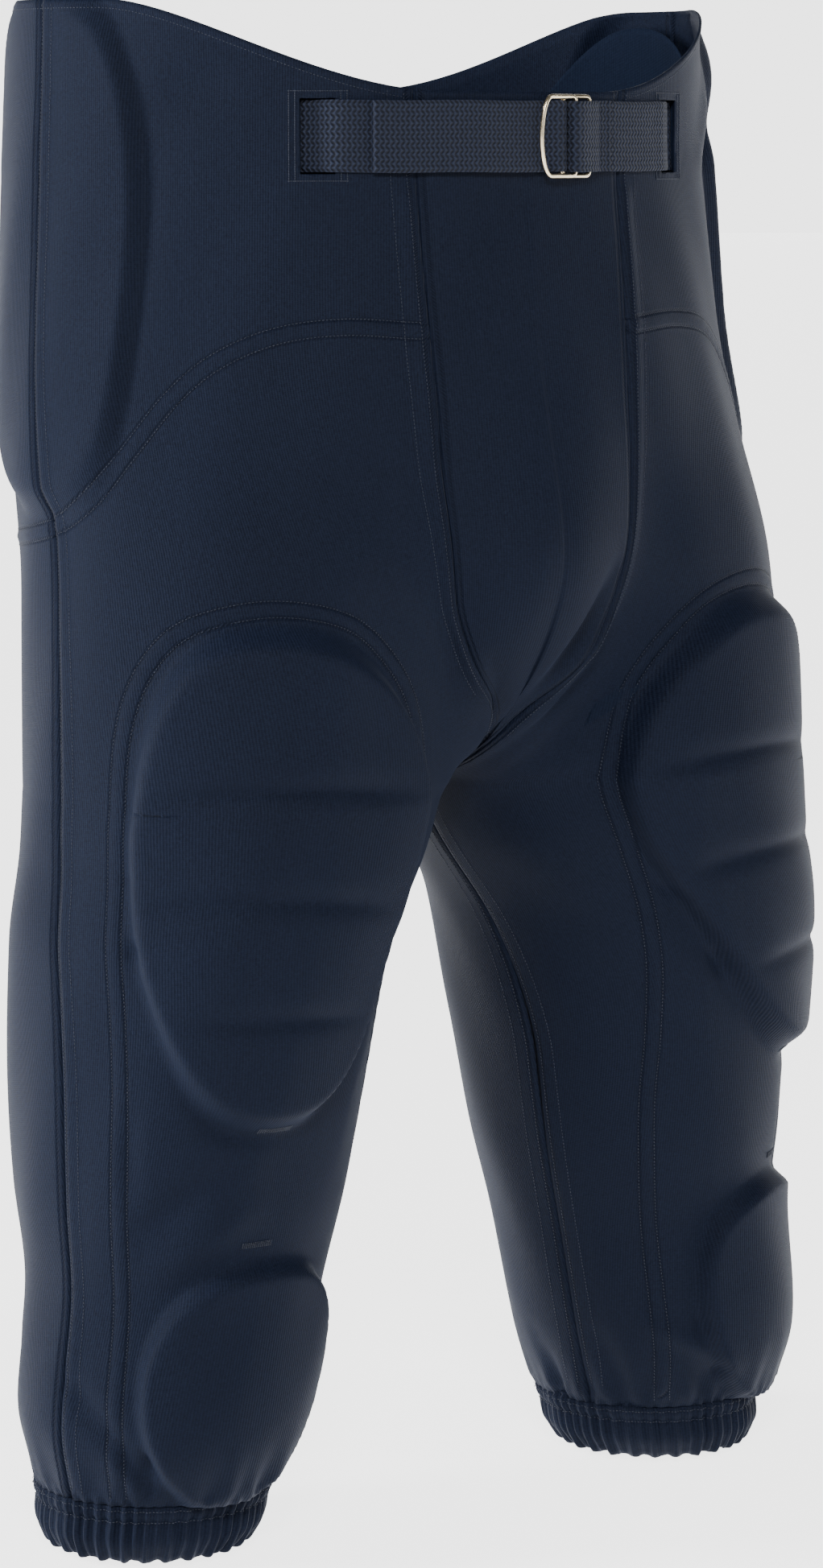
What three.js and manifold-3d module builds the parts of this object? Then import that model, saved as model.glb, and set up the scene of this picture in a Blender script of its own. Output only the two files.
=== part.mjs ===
// Padded knee-length football pants: knit panels over sewn-in pads, gathered cuffs, and a
// webbing belt that runs in a tunnel and closes through two rings at the front.
// Millimetres, +Z up. The front faces -Y, and the wearer's right leg is on the -X side.
// The origin is the middle of the waist opening, level with the middle of the belt.
import * as THREE from 'three';
import { mergeVertices } from 'three/addons/utils/BufferGeometryUtils.js';
import Module from 'manifold-3d';

const wasm = await Module();
wasm.setup();

// ---- Driving dimensions -------------------------------------------------------------
const inseam = 350;          // cuff hem to crotch
const rise = 359;            // crotch to the rim at the side
const frontDip = 41;         // how far the rim is lower at the front than at the side
const backDip = 38;          // and at the back
const waistHalfWidth = 171;
const waistHalfDepth = 124;
const hipHalfWidth = 178;
const hipHalfDepth = 128;
const seatHalfWidth = 193;
const seatHalfDepth = 136;
const thighHalfWidth = 84;
const thighHalfDepth = 88;
const kneeRadius = 65;
const cuffRadius = 44;
const legGapTop = 3;         // half the gap between the legs at the crotch
const legGapThigh = 35;
const legGapKnee = 69;
const legGapCuff = 106;
const legForward = 35;       // how far the legs stand ahead of the waist
const legTwist = { right: -10, left: 22 };   // degrees that each leg is turned

const fabric = 1.2;          // thickness of the knit
const liner = 1.0;           // thickness of a pad pocket's inner layer
const seamGap = 0.0006;      // half the gap at a seam, as a share of the way round
const levelOut = 50;         // height over which the layers turn level above the cuff
const centreGap = 0.2;       // least distance of a side panel from the centre plane
const layerGap = 1.0;        // between two layers that lie on each other
const padGap = 1.8;          // between a pad and the knit stretched over it

const cuffHeight = 28;
const cuffElastic = { height: 16, thickness: 1.2 };
const trimGap = 0.5;         // between small trims and what they lie on

// Gap is the room left on each side of the webbing.
const belt = { width: 32, thickness: 1.5, belowRim: 4, gap: 0.6 };

// Where the belt goes through the knit, as a share of the way from front centre to back centre.
const slot = { at: 0.194, length: 16, overHeight: 2, cutDepth: 30 };

// Bars is the distance between the two rings' bars, and offset is the first bar's distance
// from the front centre, along the belt.
const ring = { wire: 2.2, side: 0.7, width: 22, straight: 17, stack: 0.6, bars: 11, offset: 22 };

// Pads: half width as a share of the way round, half height, thickness and place.
const thighPad = { width: 0.149, height: 109, thick: 13, at: 0.288, level: 317 };
const kneePad = { width: 0.116, height: 56, thick: 10, at: 0.288, level: 90 };
const hipPad = { width: 0.145, height: 104, thick: 8, at: 0.525, belowRim: 118 };
const tailPad = { width: 0.13, height: 78, thick: 10, at: 1, belowRim: 120 };

const linerMargin = { side: 0.03, tailSide: 0.02, high: 8, overThigh: 16, overCuff: 3 };
const facingGap = 0.95;      // between the webbing and the facing behind it
const facingRoom = 3;        // how far the facing reaches past the webbing above and below
const facingStart = 0.03;    // the facing starts this far beyond the slot
const patchSpan = [0.02, 0.075];   // and the slot patch lies between these

// ---- Heights that follow -------------------------------------------------------------
const sideRim = inseam + rise;
const frontRim = sideRim - frontDip;
const blendTop = inseam + 0.6 * rise;        // where the trunk starts to divide into legs
const beltHeight = frontRim - belt.belowRim - belt.width / 2;   // middle of the belt above the hem
const skinLift = liner + layerGap;           // the knit lies this far outside the base surface
const outerLift = skinLift + fabric;

const smooth = (from, to, x) => {
  const t = Math.min(1, Math.max(0, (x - from) / (to - from)));
  return t * t * (3 - 2 * t);
};

const mix = (a, b, t) => a + (b - a) * t;

// A smooth curve through a few stations of [place, value].
function through(stations, x) {
  const last = stations.length - 1;
  if (x <= stations[0][0]) return stations[0][1];
  if (x >= stations[last][0]) return stations[last][1];
  let i = 0;
  while (x > stations[i + 1][0]) i += 1;
  const slope = (k) => {
    const a = Math.max(0, k - 1);
    const b = Math.min(last, k + 1);
    return (stations[b][1] - stations[a][1]) / (stations[b][0] - stations[a][0]);
  };
  const span = stations[i + 1][0] - stations[i][0];
  const t = (x - stations[i][0]) / span;
  const bend = span * (slope(i) * t * (1 - t) ** 2 - slope(i + 1) * t * t * (1 - t));
  return mix(stations[i][1], stations[i + 1][1], t * t * (3 - 2 * t)) + bend;
}

// Stations of a leg, as shares of the inseam from the hem up.
const legWidth = [[0, cuffRadius], [0.09, cuffRadius + 10], [0.18, kneeRadius - 3], [0.35, kneeRadius + 1],
  [0.48, kneeRadius + 9], [0.64, thighHalfWidth - 4], [0.8, thighHalfWidth], [1, thighHalfWidth + 12]];
const legDepth = [[0, cuffRadius + 1], [0.09, cuffRadius + 10], [0.18, kneeRadius - 2], [0.35, kneeRadius + 2],
  [0.48, kneeRadius + 10], [0.64, thighHalfDepth - 6], [0.8, thighHalfDepth], [1, thighHalfDepth + 4]];
const legGap = [[0, legGapCuff], [0.09, legGapCuff - 14], [0.18, legGapKnee + 13], [0.35, legGapKnee],
  [0.48, legGapKnee - 12], [0.64, legGapThigh + 11], [0.8, legGapThigh], [0.92, legGapThigh - 20],
  [1, legGapTop]];

// Stations of the trunk, as shares of the rise from the crotch up.
const trunkWidth = [[0, seatHalfWidth], [0.2, seatHalfWidth + 1], [0.35, seatHalfWidth - 5],
  [0.6, hipHalfWidth], [0.83, waistHalfWidth + 1], [1, waistHalfWidth]];
const trunkDepth = [[0, seatHalfDepth], [0.25, seatHalfDepth + 1], [0.4, hipHalfDepth + 4],
  [0.6, hipHalfDepth], [0.83, waistHalfDepth + 1], [1, waistHalfDepth]];
const trunkForward = [[0, legForward + 4], [0.18, legForward - 3], [0.28, legForward * 0.75],
  [0.42, legForward * 0.35], [0.6, 4], [0.83, 0], [1, 0]];

// ---- The base surface ----------------------------------------------------------------
// u runs from the front centre or inseam (0) round the outside to the back centre or inseam (1).
// h is the height above the hem before the rim's dip is taken off.
const rimDip = (u) => frontDip * (1 - smooth(0.08, 0.42, u)) + backDip * smooth(0.55, 0.85, u);

function basePoint(side, u, h) {
  const leg = Math.min(1, h / inseam);
  const rx = through(legWidth, leg);
  const ry = through(legDepth, leg);
  const turn = THREE.MathUtils.degToRad(side < 0 ? legTwist.right : legTwist.left);
  const angle = 2 * Math.PI * u + turn * (1 - smooth(0.6, 1, leg));
  const legX = through(legGap, leg) + rx * (1 - Math.cos(angle));
  const legY = -legForward - ry * Math.sin(angle);
  const trunk = Math.max(0, (h - inseam) / rise);
  const a = through(trunkWidth, trunk);
  const b = through(trunkDepth, trunk);
  const trunkX = a * Math.sin(Math.PI * u);
  const trunkY = -through(trunkForward, trunk) - b * Math.cos(Math.PI * u);
  const down = Math.min(1, Math.max(0, (blendTop - h) / (blendTop - inseam)));
  const round = 1 - Math.sqrt(1 - down * down);
  const share = h <= inseam ? 1 : mix(round, smooth(0, 1, down), smooth(0, 0.2, Math.min(u, 1 - u)));
  const z = h - rimDip(u) * smooth(blendTop, sideRim, h);
  return new THREE.Vector3(side * mix(trunkX, legX, share), mix(trunkY, legY, share), z);
}

// The outward direction. It lies level at a flat hem, and turns level on the way down to the cuff.
function outward(side, u, h, level) {
  const du = 0.002;
  const dh = 0.5;
  const along = basePoint(side, u + du, h).sub(basePoint(side, u - du, h));
  const up = basePoint(side, u, h + dh).sub(basePoint(side, u, h - dh));
  const n = along.cross(up).multiplyScalar(side);
  n.z *= level ? 0 : smooth(cuffHeight, cuffHeight + levelOut, h);
  return n.normalize();
}

function liftedPoint(side, u, h, lift, level = false) {
  return basePoint(side, u, h).addScaledVector(outward(side, u, h, level), lift);
}

// ---- Pads press the knit outwards ----------------------------------------------------
const padList = [
  { ...thighPad, h: thighPad.level },
  { ...kneePad, h: kneePad.level },
  { ...hipPad, h: sideRim - hipPad.belowRim },
  { ...tailPad, h: sideRim - tailPad.belowRim },
];

// The height of a pad's dome at a place: full over the middle, falling away past its edge.
// Slack draws it in, so that a pad's shoulder stays well under the knit.
function dome(pad, u, h, slack = 0) {
  const x = Math.abs(u - pad.at) / pad.width;
  const y = Math.abs(h - pad.h) / pad.height;
  return 1 - smooth(0.5 - slack, 1.25 - slack, Math.cbrt(x ** 3 + y ** 3));
}

function bulge(u, h) {
  return padList.reduce((sum, pad) => sum + (pad.thick + padGap) * dome(pad, u, h), 0);
}

const skinInner = (u, h) => skinLift + bulge(u, h);
const skinOuter = (u, h) => skinLift + bulge(u, h) + fabric;

// ---- Seams ---------------------------------------------------------------------------
const frontSeam = (h) => through([[inseam, 0.004], [inseam + 0.1 * rise, 0.03], [inseam + 0.21 * rise, 0.062],
  [inseam + 0.35 * rise, 0.085], [inseam + 0.6 * rise, 0.095], [sideRim, 0.11]], h);
const sideSeam = (h) => 0.5 + 0.025 * smooth(inseam, inseam + 0.5 * rise, h);

// ---- Solids --------------------------------------------------------------------------
const group = new THREE.Group();
group.position.z = -beltHeight;

const finishes = {
  knit: { color: 0x1d2238, roughness: 0.7, metalness: 0 },
  lining: { color: 0x23283c, roughness: 0.85, metalness: 0 },
  foam: { color: 0x2b2d33, roughness: 0.9, metalness: 0 },
  elastic: { color: 0x24273a, roughness: 0.85, metalness: 0 },
  webbing: { color: 0x33324a, roughness: 0.8, metalness: 0 },
  metal: { color: 0xc9bfa6, roughness: 0.3, metalness: 1 },
};

function signedVolume(positions, index) {
  const a = new THREE.Vector3();
  const b = new THREE.Vector3();
  const c = new THREE.Vector3();
  let sum = 0;
  for (let i = 0; i < index.length; i += 3) {
    a.fromArray(positions, 3 * index[i]);
    b.fromArray(positions, 3 * index[i + 1]);
    c.fromArray(positions, 3 * index[i + 2]);
    sum += a.dot(b.cross(c));
  }
  return sum;
}

function addPiece(name, finish, positions, index) {
  if (signedVolume(positions, index) < 0) index.reverse();
  const geometry = new THREE.BufferGeometry();
  geometry.setAttribute('position', new THREE.Float32BufferAttribute(positions, 3));
  geometry.setIndex(index);
  const mesh = new THREE.Mesh(geometry, new THREE.MeshStandardMaterial(finishes[finish]));
  mesh.name = name;
  group.add(mesh);
  return mesh;
}

// A closed sheet over a grid: place(a, b, layer) gives a corner, with a and b from 0 to 1.
// A ring joins its last column to its first.
function sheetSolid(columns, rows, place, ringed = false) {
  const wide = ringed ? columns : columns + 1;
  const positions = [];
  for (let layer = 0; layer < 2; layer += 1) {
    for (let j = 0; j <= rows; j += 1) {
      for (let i = 0; i < wide; i += 1) positions.push(...place(i / columns, j / rows, layer).toArray());
    }
  }
  const at = (i, j, layer) => layer * wide * (rows + 1) + j * wide + (i % wide);
  const index = [];
  const quad = (a, b, c, d) => index.push(a, b, c, a, c, d);
  for (let j = 0; j < rows; j += 1) {
    for (let i = 0; i < columns; i += 1) {
      quad(at(i, j, 1), at(i + 1, j, 1), at(i + 1, j + 1, 1), at(i, j + 1, 1));
      quad(at(i, j, 0), at(i, j + 1, 0), at(i + 1, j + 1, 0), at(i + 1, j, 0));
    }
    if (!ringed) {
      quad(at(0, j, 0), at(0, j, 1), at(0, j + 1, 1), at(0, j + 1, 0));
      quad(at(columns, j, 1), at(columns, j, 0), at(columns, j + 1, 0), at(columns, j + 1, 1));
    }
  }
  for (let i = 0; i < columns; i += 1) {
    quad(at(i, 0, 0), at(i + 1, 0, 0), at(i + 1, 0, 1), at(i, 0, 1));
    quad(at(i, rows, 1), at(i + 1, rows, 1), at(i + 1, rows, 0), at(i, rows, 0));
  }
  return { positions, index };
}

// Rows of a body panel from the cuff up, closer together where the crotch curves under.
function bodyLevel(b, from) {
  const bend = blendTop - inseam;
  const legShare = 0.5;
  const bendShare = 0.3;
  if (b < legShare) return mix(from, inseam, b / legShare);
  if (b < legShare + bendShare) {
    const t = 1 - (b - legShare) / bendShare;
    return blendTop - bend * Math.sin(0.5 * Math.PI * t);
  }
  return mix(blendTop, sideRim, (b - legShare - bendShare) / (1 - legShare - bendShare));
}

function bodyPanel(name, side, columns, rows, leftEdge, rightEdge) {
  const from = cuffHeight + trimGap;
  const panel = sheetSolid(columns, rows, (a, b, layer) => {
    const h = bodyLevel(b, from);
    const u = mix(leftEdge(h) + seamGap, rightEdge(h) - seamGap, a);
    const point = liftedPoint(side, u, h, layer ? skinOuter(u, h) : skinInner(u, h));
    point.x = side * Math.max(side * point.x, centreGap);
    return point;
  });
  return addPiece(name, 'knit', panel.positions, panel.index);
}

// A boolean cut: the mesh's own geometry less a cutter's.
function cutAway(mesh, cutter) {
  const toSolid = (geometry) => {
    const plain = geometry.clone();
    plain.deleteAttribute('normal');
    plain.deleteAttribute('uv');
    const merged = mergeVertices(plain, 1e-4);
    return new wasm.Manifold(new wasm.Mesh({
      numProp: 3,
      vertProperties: Float32Array.from(merged.attributes.position.array),
      triVerts: Uint32Array.from(merged.index.array),
    }));
  };
  const cut = toSolid(mesh.geometry).subtract(toSolid(cutter)).getMesh();
  const geometry = new THREE.BufferGeometry();
  geometry.setAttribute('position', new THREE.Float32BufferAttribute(cut.vertProperties, 3));
  geometry.setIndex([...cut.triVerts]);
  mesh.geometry = geometry;
}

// A pad or liner with rounded corners, centred on a place of the surface.
function roundPatch(name, finish, side, pad, grid, inner, outer) {
  const corner = 0.8;
  const patch = sheetSolid(grid[0], grid[1], (a, b, layer) => {
    const x = 2 * a - 1;
    const y = 2 * b - 1;
    const u = pad.at + pad.width * x * Math.sqrt(1 - corner * y * y / 2);
    const h = pad.h + pad.height * y * Math.sqrt(1 - corner * x * x / 2);
    const onSide = u > 1 ? -side : side;
    const reach = u > 1 ? 2 - u : u;
    return liftedPoint(onSide, reach, h, layer ? outer(reach, h) : inner);
  });
  addPiece(name, finish, patch.positions, patch.index);
}

// ---- Places along the belt -----------------------------------------------------------
// The value of h at which the surface reaches a true height above the hem.
function levelAt(u, height) {
  let h = height;
  const tries = 30;
  for (let i = 0; i < tries; i += 1) h = height + rimDip(u) * smooth(blendTop, sideRim, h);
  return h;
}

function waistPoint(side, u, lift, up) {
  return liftedPoint(side, u, levelAt(u, beltHeight + up), lift, true);
}

const beltSteps = 400;
const beltRun = [0];
for (let i = 1; i <= beltSteps; i += 1) {
  const step = waistPoint(1, (i - 1) / beltSteps, 0, 0).distanceTo(waistPoint(1, i / beltSteps, 0, 0));
  beltRun.push(beltRun[i - 1] + step);
}

const runTo = (u) => beltRun[Math.round(u * beltSteps)];

// The place round the waist at a distance along the belt from the front centre.
function aroundAt(distance) {
  const far = Math.abs(distance);
  let i = 1;
  while (i < beltSteps && beltRun[i] < far) i += 1;
  return (i - 1 + (far - beltRun[i - 1]) / (beltRun[i] - beltRun[i - 1])) / beltSteps;
}

// A point given by its distance along the belt, its height off the base surface and up the belt.
function beltPoint(distance, lift, up) {
  return waistPoint(distance < 0 ? -1 : 1, aroundAt(distance), lift, up);
}

// A strap of even thickness about a path of [distance, lift], as wide as the belt.
function strapSolid(name, path) {
  const last = path.length - 1;
  const strap = sheetSolid(last, 1, (a, b, layer) => {
    const i = Math.round(a * last);
    const before = path[Math.max(0, i - 1)];
    const after = path[Math.min(last, i + 1)];
    const length = Math.hypot(after[0] - before[0], after[1] - before[1]);
    const off = (layer - 0.5) * belt.thickness;
    const distance = path[i][0] - (after[1] - before[1]) / length * off;
    const lift = path[i][1] + (after[0] - before[0]) / length * off;
    return beltPoint(distance, lift, (b - 0.5) * belt.width);
  });
  addPiece(name, 'webbing', strap.positions, strap.index);
}

const insideLift = -belt.gap - belt.thickness / 2;            // middle of the webbing in the tunnel
const outsideLift = outerLift + belt.gap + belt.thickness / 2;   // and on the outside
const slotRun = runTo(slot.at);
const halfSlot = slot.length / 2;

// ---- Knit panels ---------------------------------------------------------------------
function slotCutter(side) {
  const middle = beltPoint(side * slotRun, outerLift, 0);
  const out = outward(side, slot.at, levelAt(slot.at, beltHeight), true);
  const box = new THREE.BoxGeometry(slot.length, slot.cutDepth, belt.width + 2 * slot.overHeight);
  box.rotateZ(Math.atan2(out.y, out.x) - Math.PI / 2);
  box.translate(middle.x, middle.y, middle.z);
  return box;
}

for (const [word, side] of [['right', -1], ['left', 1]]) {
  const frontEdge = (h) => (h > inseam ? frontSeam(h) : 0);
  const front = bodyPanel(`${word}_front_panel`, side, 22, 32, frontEdge, sideSeam);
  cutAway(front, slotCutter(side));
  bodyPanel(`${word}_back_panel`, side, 15, 28, sideSeam, () => 1);
}

const flyBottom = inseam + 0.07 * rise;
const fly = sheetSolid(8, 16, (a, b, layer) => {
  const x = 2 * a - 1;
  const h = mix(flyBottom, sideRim, b);
  const u = Math.abs(x) * (frontSeam(h) - seamGap);
  const point = liftedPoint(x < 0 ? -1 : 1, u, h, layer ? skinOuter(u, h) : skinInner(u, h));
  if (x === 0) point.x = 0;
  return point;
});
addPiece('fly_panel', 'knit', fly.positions, fly.index);

// ---- Cuffs ---------------------------------------------------------------------------
for (const [word, side] of [['right', -1], ['left', 1]]) {
  const casing = sheetSolid(24, 2, (a, b, layer) => liftedPoint(side, a, b * cuffHeight,
    layer ? outerLift : skinLift, true), true);
  addPiece(`${word}_cuff_casing`, 'knit', casing.positions, casing.index);
  const low = (cuffHeight - cuffElastic.height) / 2;
  const elasticOuter = skinLift - trimGap;
  const elastic = sheetSolid(24, 1, (a, b, layer) => liftedPoint(side, a, low + b * cuffElastic.height,
    layer ? elasticOuter : elasticOuter - cuffElastic.thickness, true), true);
  addPiece(`${word}_cuff_elastic`, 'elastic', elastic.positions, elastic.index);
}

// ---- Pads and their pocket liners ----------------------------------------------------
const padBottom = liner + layerGap;
const shoulderSlack = 0.1;
const padEdge = 0.5;         // the least thickness of a pad at its edge
const padTop = (pad) => (u, h) => padBottom + padEdge + (pad.thick - padEdge) * dome(pad, u, h, shoulderSlack);
const [thigh, knee, hip, tail] = padList;
const linerLow = cuffHeight + linerMargin.overCuff;
const linerHigh = thigh.h + thigh.height + linerMargin.overThigh;
const legLiner = {
  at: thigh.at,
  width: thigh.width + linerMargin.side,
  h: (linerLow + linerHigh) / 2,
  height: (linerHigh - linerLow) / 2,
};
const hipLiner = { ...hip, width: hip.width + linerMargin.side, height: hip.height + linerMargin.high };
const tailLiner = { ...tail, width: tail.width + linerMargin.tailSide, height: tail.height + linerMargin.high };

for (const [word, side] of [['right', -1], ['left', 1]]) {
  roundPatch(`${word}_thigh_pad`, 'foam', side, thigh, [12, 12], padBottom, padTop(thigh));
  roundPatch(`${word}_knee_pad`, 'foam', side, knee, [8, 7], padBottom, padTop(knee));
  roundPatch(`${word}_hip_pad`, 'foam', side, hip, [10, 10], padBottom, padTop(hip));
  roundPatch(`${word}_leg_pad_liner`, 'lining', side, legLiner, [12, 16], 0, () => liner);
  roundPatch(`${word}_hip_pad_liner`, 'lining', side, hipLiner, [10, 10], 0, () => liner);
}
roundPatch('tail_pad', 'foam', 1, tail, [10, 8], padBottom, padTop(tail));
roundPatch('tail_pad_liner', 'lining', 1, tailLiner, [10, 8], 0, () => liner);

// ---- Belt tunnel ---------------------------------------------------------------------
const facingOuter = insideLift - belt.thickness / 2 - facingGap;
for (const [word, side] of [['right', -1], ['left', 1]]) {
  const from = slot.at + facingStart;
  const facing = sheetSolid(28, 1, (a, b, layer) => {
    const u = mix(from, 1 - seamGap, a);
    const up = (b - 0.5) * (belt.width + 2 * facingRoom);
    return waistPoint(side, u, layer ? facingOuter : facingOuter - liner, up);
  });
  addPiece(`${word}_belt_facing`, 'lining', facing.positions, facing.index);
  const patch = sheetSolid(3, 1, (a, b, layer) => {
    const u = mix(slot.at + patchSpan[0], slot.at + patchSpan[1], a);
    return waistPoint(side, u, layer ? liner : 0, (b - 0.5) * (belt.width + facingRoom));
  });
  addPiece(`${word}_slot_patch`, 'lining', patch.positions, patch.index);
}

// ---- Belt webbing --------------------------------------------------------------------
const totalRun = beltRun[beltSteps];
const runStep = 16;          // the webbing bends at points this far apart
const slotClear = 1;         // the two belt runs end this far past the slot's edges

function evenRun(from, to, lift) {
  const count = Math.max(1, Math.round(Math.abs(to - from) / runStep));
  return Array.from({ length: count + 1 }, (_, i) => [mix(from, to, i / count), lift]);
}

// The run in the tunnel goes from the right slot round the back to the left slot.
const backRun = sheetSolid(60, 1, (a, b, layer) => {
  const from = slotRun + halfSlot + slotClear;
  const place = mix(from, 2 * totalRun - from, a);
  const distance = place < totalRun ? -place : 2 * totalRun - place;
  const lift = insideLift + (layer ? 0.5 : -0.5) * belt.thickness;
  return beltPoint(distance, lift, (b - 0.5) * belt.width);
});
addPiece('belt_back_run', 'webbing', backRun.positions, backRun.index);

// Places at the rings, along the belt and off the base surface. The wearer's left is positive.
const wire = ring.wire / 2;
const barOne = ring.offset;
const barTwo = ring.offset + ring.bars;
const arcOne = barOne - ring.width + ring.wire;
const arcTwo = barTwo - ring.width + ring.wire;
const underTop = outsideLift + belt.thickness / 2;
const ringTwoLift = underTop + belt.gap + wire;
const ringOneLift = ringTwoLift + ring.wire + ring.stack;
const overArc = ringTwoLift + wire + belt.gap + belt.thickness / 2;
const tailLift = underTop + belt.gap + belt.thickness / 2;
const foldReach = wire + belt.gap + belt.thickness / 2;
const foldAlong = foldReach + 2.4;           // the fold clears the arc's round corners too
const underEnd = arcTwo - 2;                 // where the pulled belt starts to rise into its fold
const overStart = arcTwo - 7.5;              // and where the folded end has come down again

const foldSteps = 8;
const fold = Array.from({ length: foldSteps + 1 }, (_, i) => {
  const angle = -Math.PI / 2 + Math.PI * i / foldSteps;
  return [arcTwo + foldAlong * Math.cos(angle), ringTwoLift + (overArc - ringTwoLift) * Math.sin(angle)];
});
const midLift = (insideLift + outsideLift) / 2;
const slotEntry = [[slotClear - slotRun - halfSlot, insideLift], [slotClear - slotRun, midLift],
  [slotClear - slotRun + halfSlot, outsideLift]];
const outsideStart = -slotRun + halfSlot + runStep;
const frontPath = [...slotEntry, ...evenRun(outsideStart, underEnd, outsideLift), ...fold,
  ...evenRun(overStart, outsideStart, tailLift)];
strapSolid('belt_front_run', frontPath);

// The ring strap comes out of the left slot, folds round both bars and is sewn down on itself.
const loopLeft = barOne - foldReach;
const loopTopLeft = ringOneLift + foldReach;
const loopTopRight = ringTwoLift + foldReach;
const sewnLift = outsideLift + belt.thickness + trimGap;
const slope = 4;             // the folded end comes down over this length
const sewnLength = 9;
const corner = { along: 1.2, off: 1.4 };     // how the loop's corners are cut off
const overBar = [2.5, 1.5];  // the loop leaves the tops of the two bars this far past them
const sewnStart = barTwo + foldReach + slope;
const strapPath = [[slotRun + halfSlot - slotClear, insideLift], [slotRun, midLift],
  ...evenRun(slotRun - halfSlot - slotClear, loopLeft + corner.along, outsideLift),
  [loopLeft, outsideLift + corner.off], [loopLeft, loopTopLeft - corner.off],
  [loopLeft + corner.along, loopTopLeft], [barOne + overBar[0], loopTopLeft],
  [barTwo + overBar[1], loopTopRight], [sewnStart, sewnLift], [sewnStart + sewnLength, sewnLift]];
strapSolid('ring_strap', strapPath);

// ---- Rings ---------------------------------------------------------------------------
// A wire bent to a D: a straight bar, two short straight sides and a round arc.
function addRing(name, bar, lift) {
  const high = belt.width / 2 + ring.side + wire;
  const round = ring.width - ring.wire - ring.straight;
  const bend = 2;                            // radius of the corners at the bar
  const knee = 0.3 * bend;                   // how far a corner's middle stands in
  const arcSteps = 10;
  const arc = Array.from({ length: arcSteps + 1 }, (_, i) => {
    const angle = Math.PI / 2 + Math.PI * i / arcSteps;
    return [-ring.straight + round * Math.cos(angle), high * Math.sin(angle)];
  });
  const path = [[0, bend - high], [0, 0], [0, high - bend], [-knee, high - knee], [-bend, high], ...arc,
    [-bend, -high], [-knee, knee - high]];
  const start = beltPoint(bar, lift, 0);
  const end = beltPoint(bar - ring.width + ring.wire, lift, 0);
  const along = end.clone().sub(start).setZ(0).normalize().negate();
  const out = new THREE.Vector3(along.y, -along.x, 0);
  const sides = 8;
  const positions = [];
  path.forEach(([x, y], i) => {
    const before = path[(i + path.length - 1) % path.length];
    const after = path[(i + 1) % path.length];
    const length = Math.hypot(after[0] - before[0], after[1] - before[1]);
    const normal = [(after[1] - before[1]) / length, -(after[0] - before[0]) / length];
    for (let k = 0; k < sides; k += 1) {
      const angle = 2 * Math.PI * k / sides;
      const across = wire * Math.cos(angle);
      const point = start.clone().addScaledVector(along, x + across * normal[0]);
      point.addScaledVector(out, wire * Math.sin(angle));
      point.z += y + across * normal[1];
      positions.push(...point.toArray());
    }
  });
  const index = [];
  path.forEach((_, i) => {
    const next = (i + 1) % path.length;
    for (let k = 0; k < sides; k += 1) {
      const [a, b] = [i * sides + k, i * sides + (k + 1) % sides];
      const [c, d] = [next * sides + k, next * sides + (k + 1) % sides];
      index.push(a, b, d, a, d, c);
    }
  });
  addPiece(name, 'metal', positions, index);
}

addRing('front_ring', barOne, ringOneLift);
addRing('rear_ring', barTwo, ringTwoLift);

export default group;
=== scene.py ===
import math

import bmesh
import bpy
import numpy as np
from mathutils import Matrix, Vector


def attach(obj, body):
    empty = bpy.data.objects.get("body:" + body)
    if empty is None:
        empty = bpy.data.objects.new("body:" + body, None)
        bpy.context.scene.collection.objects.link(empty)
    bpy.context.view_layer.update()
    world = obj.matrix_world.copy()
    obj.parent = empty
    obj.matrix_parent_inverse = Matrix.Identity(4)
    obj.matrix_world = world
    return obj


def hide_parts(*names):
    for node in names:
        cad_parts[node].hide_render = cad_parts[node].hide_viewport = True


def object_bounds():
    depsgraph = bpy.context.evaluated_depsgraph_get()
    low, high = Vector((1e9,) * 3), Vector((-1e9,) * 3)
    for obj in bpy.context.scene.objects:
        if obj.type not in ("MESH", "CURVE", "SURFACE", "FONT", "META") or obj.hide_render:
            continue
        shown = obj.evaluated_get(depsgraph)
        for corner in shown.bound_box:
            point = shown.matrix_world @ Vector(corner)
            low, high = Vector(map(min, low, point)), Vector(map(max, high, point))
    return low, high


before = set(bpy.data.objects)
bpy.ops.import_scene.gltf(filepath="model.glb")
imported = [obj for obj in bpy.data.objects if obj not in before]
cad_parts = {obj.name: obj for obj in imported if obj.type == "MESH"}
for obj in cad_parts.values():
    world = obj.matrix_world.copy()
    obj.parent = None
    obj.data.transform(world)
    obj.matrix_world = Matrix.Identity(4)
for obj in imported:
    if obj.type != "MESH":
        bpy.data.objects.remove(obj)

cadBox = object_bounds()
print("stage: frame loaded")

mm = 0.001
bodyName = "garment"
words = {-1: "right", 1: "left"}


# the shape that every layer follows, in millimetres
# u runs from the front centre or inseam (0) round the outside to the back (1),
# and h is the height above the cuff hem before the rim's dip is taken off.
cut = dict(
    inseam=350.0, rise=359.0, frontDip=41.0, backDip=38.0,
    cuffRadius=44.0, kneeRadius=65.0, thighWidth=84.0, thighDepth=88.0,
    seatWidth=193.0, seatDepth=136.0, hipWidth=178.0, hipDepth=128.0,
    waistWidth=171.0, waistDepth=124.0, legForward=35.0,
    gapTop=3.0, gapThigh=35.0, gapKnee=69.0, gapCuff=106.0,
    twist={-1: -10.0, 1: 22.0}, beltHeight=648.0,
)
sideRim = cut["inseam"] + cut["rise"]
blendTop = cut["inseam"] + 0.6 * cut["rise"]


def smooth(start, end, x):
    t = np.clip((x - start) / (end - start), 0, 1)
    return t * t * (3 - 2 * t)


def mix(a, b, t):
    return a + (b - a) * t


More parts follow.
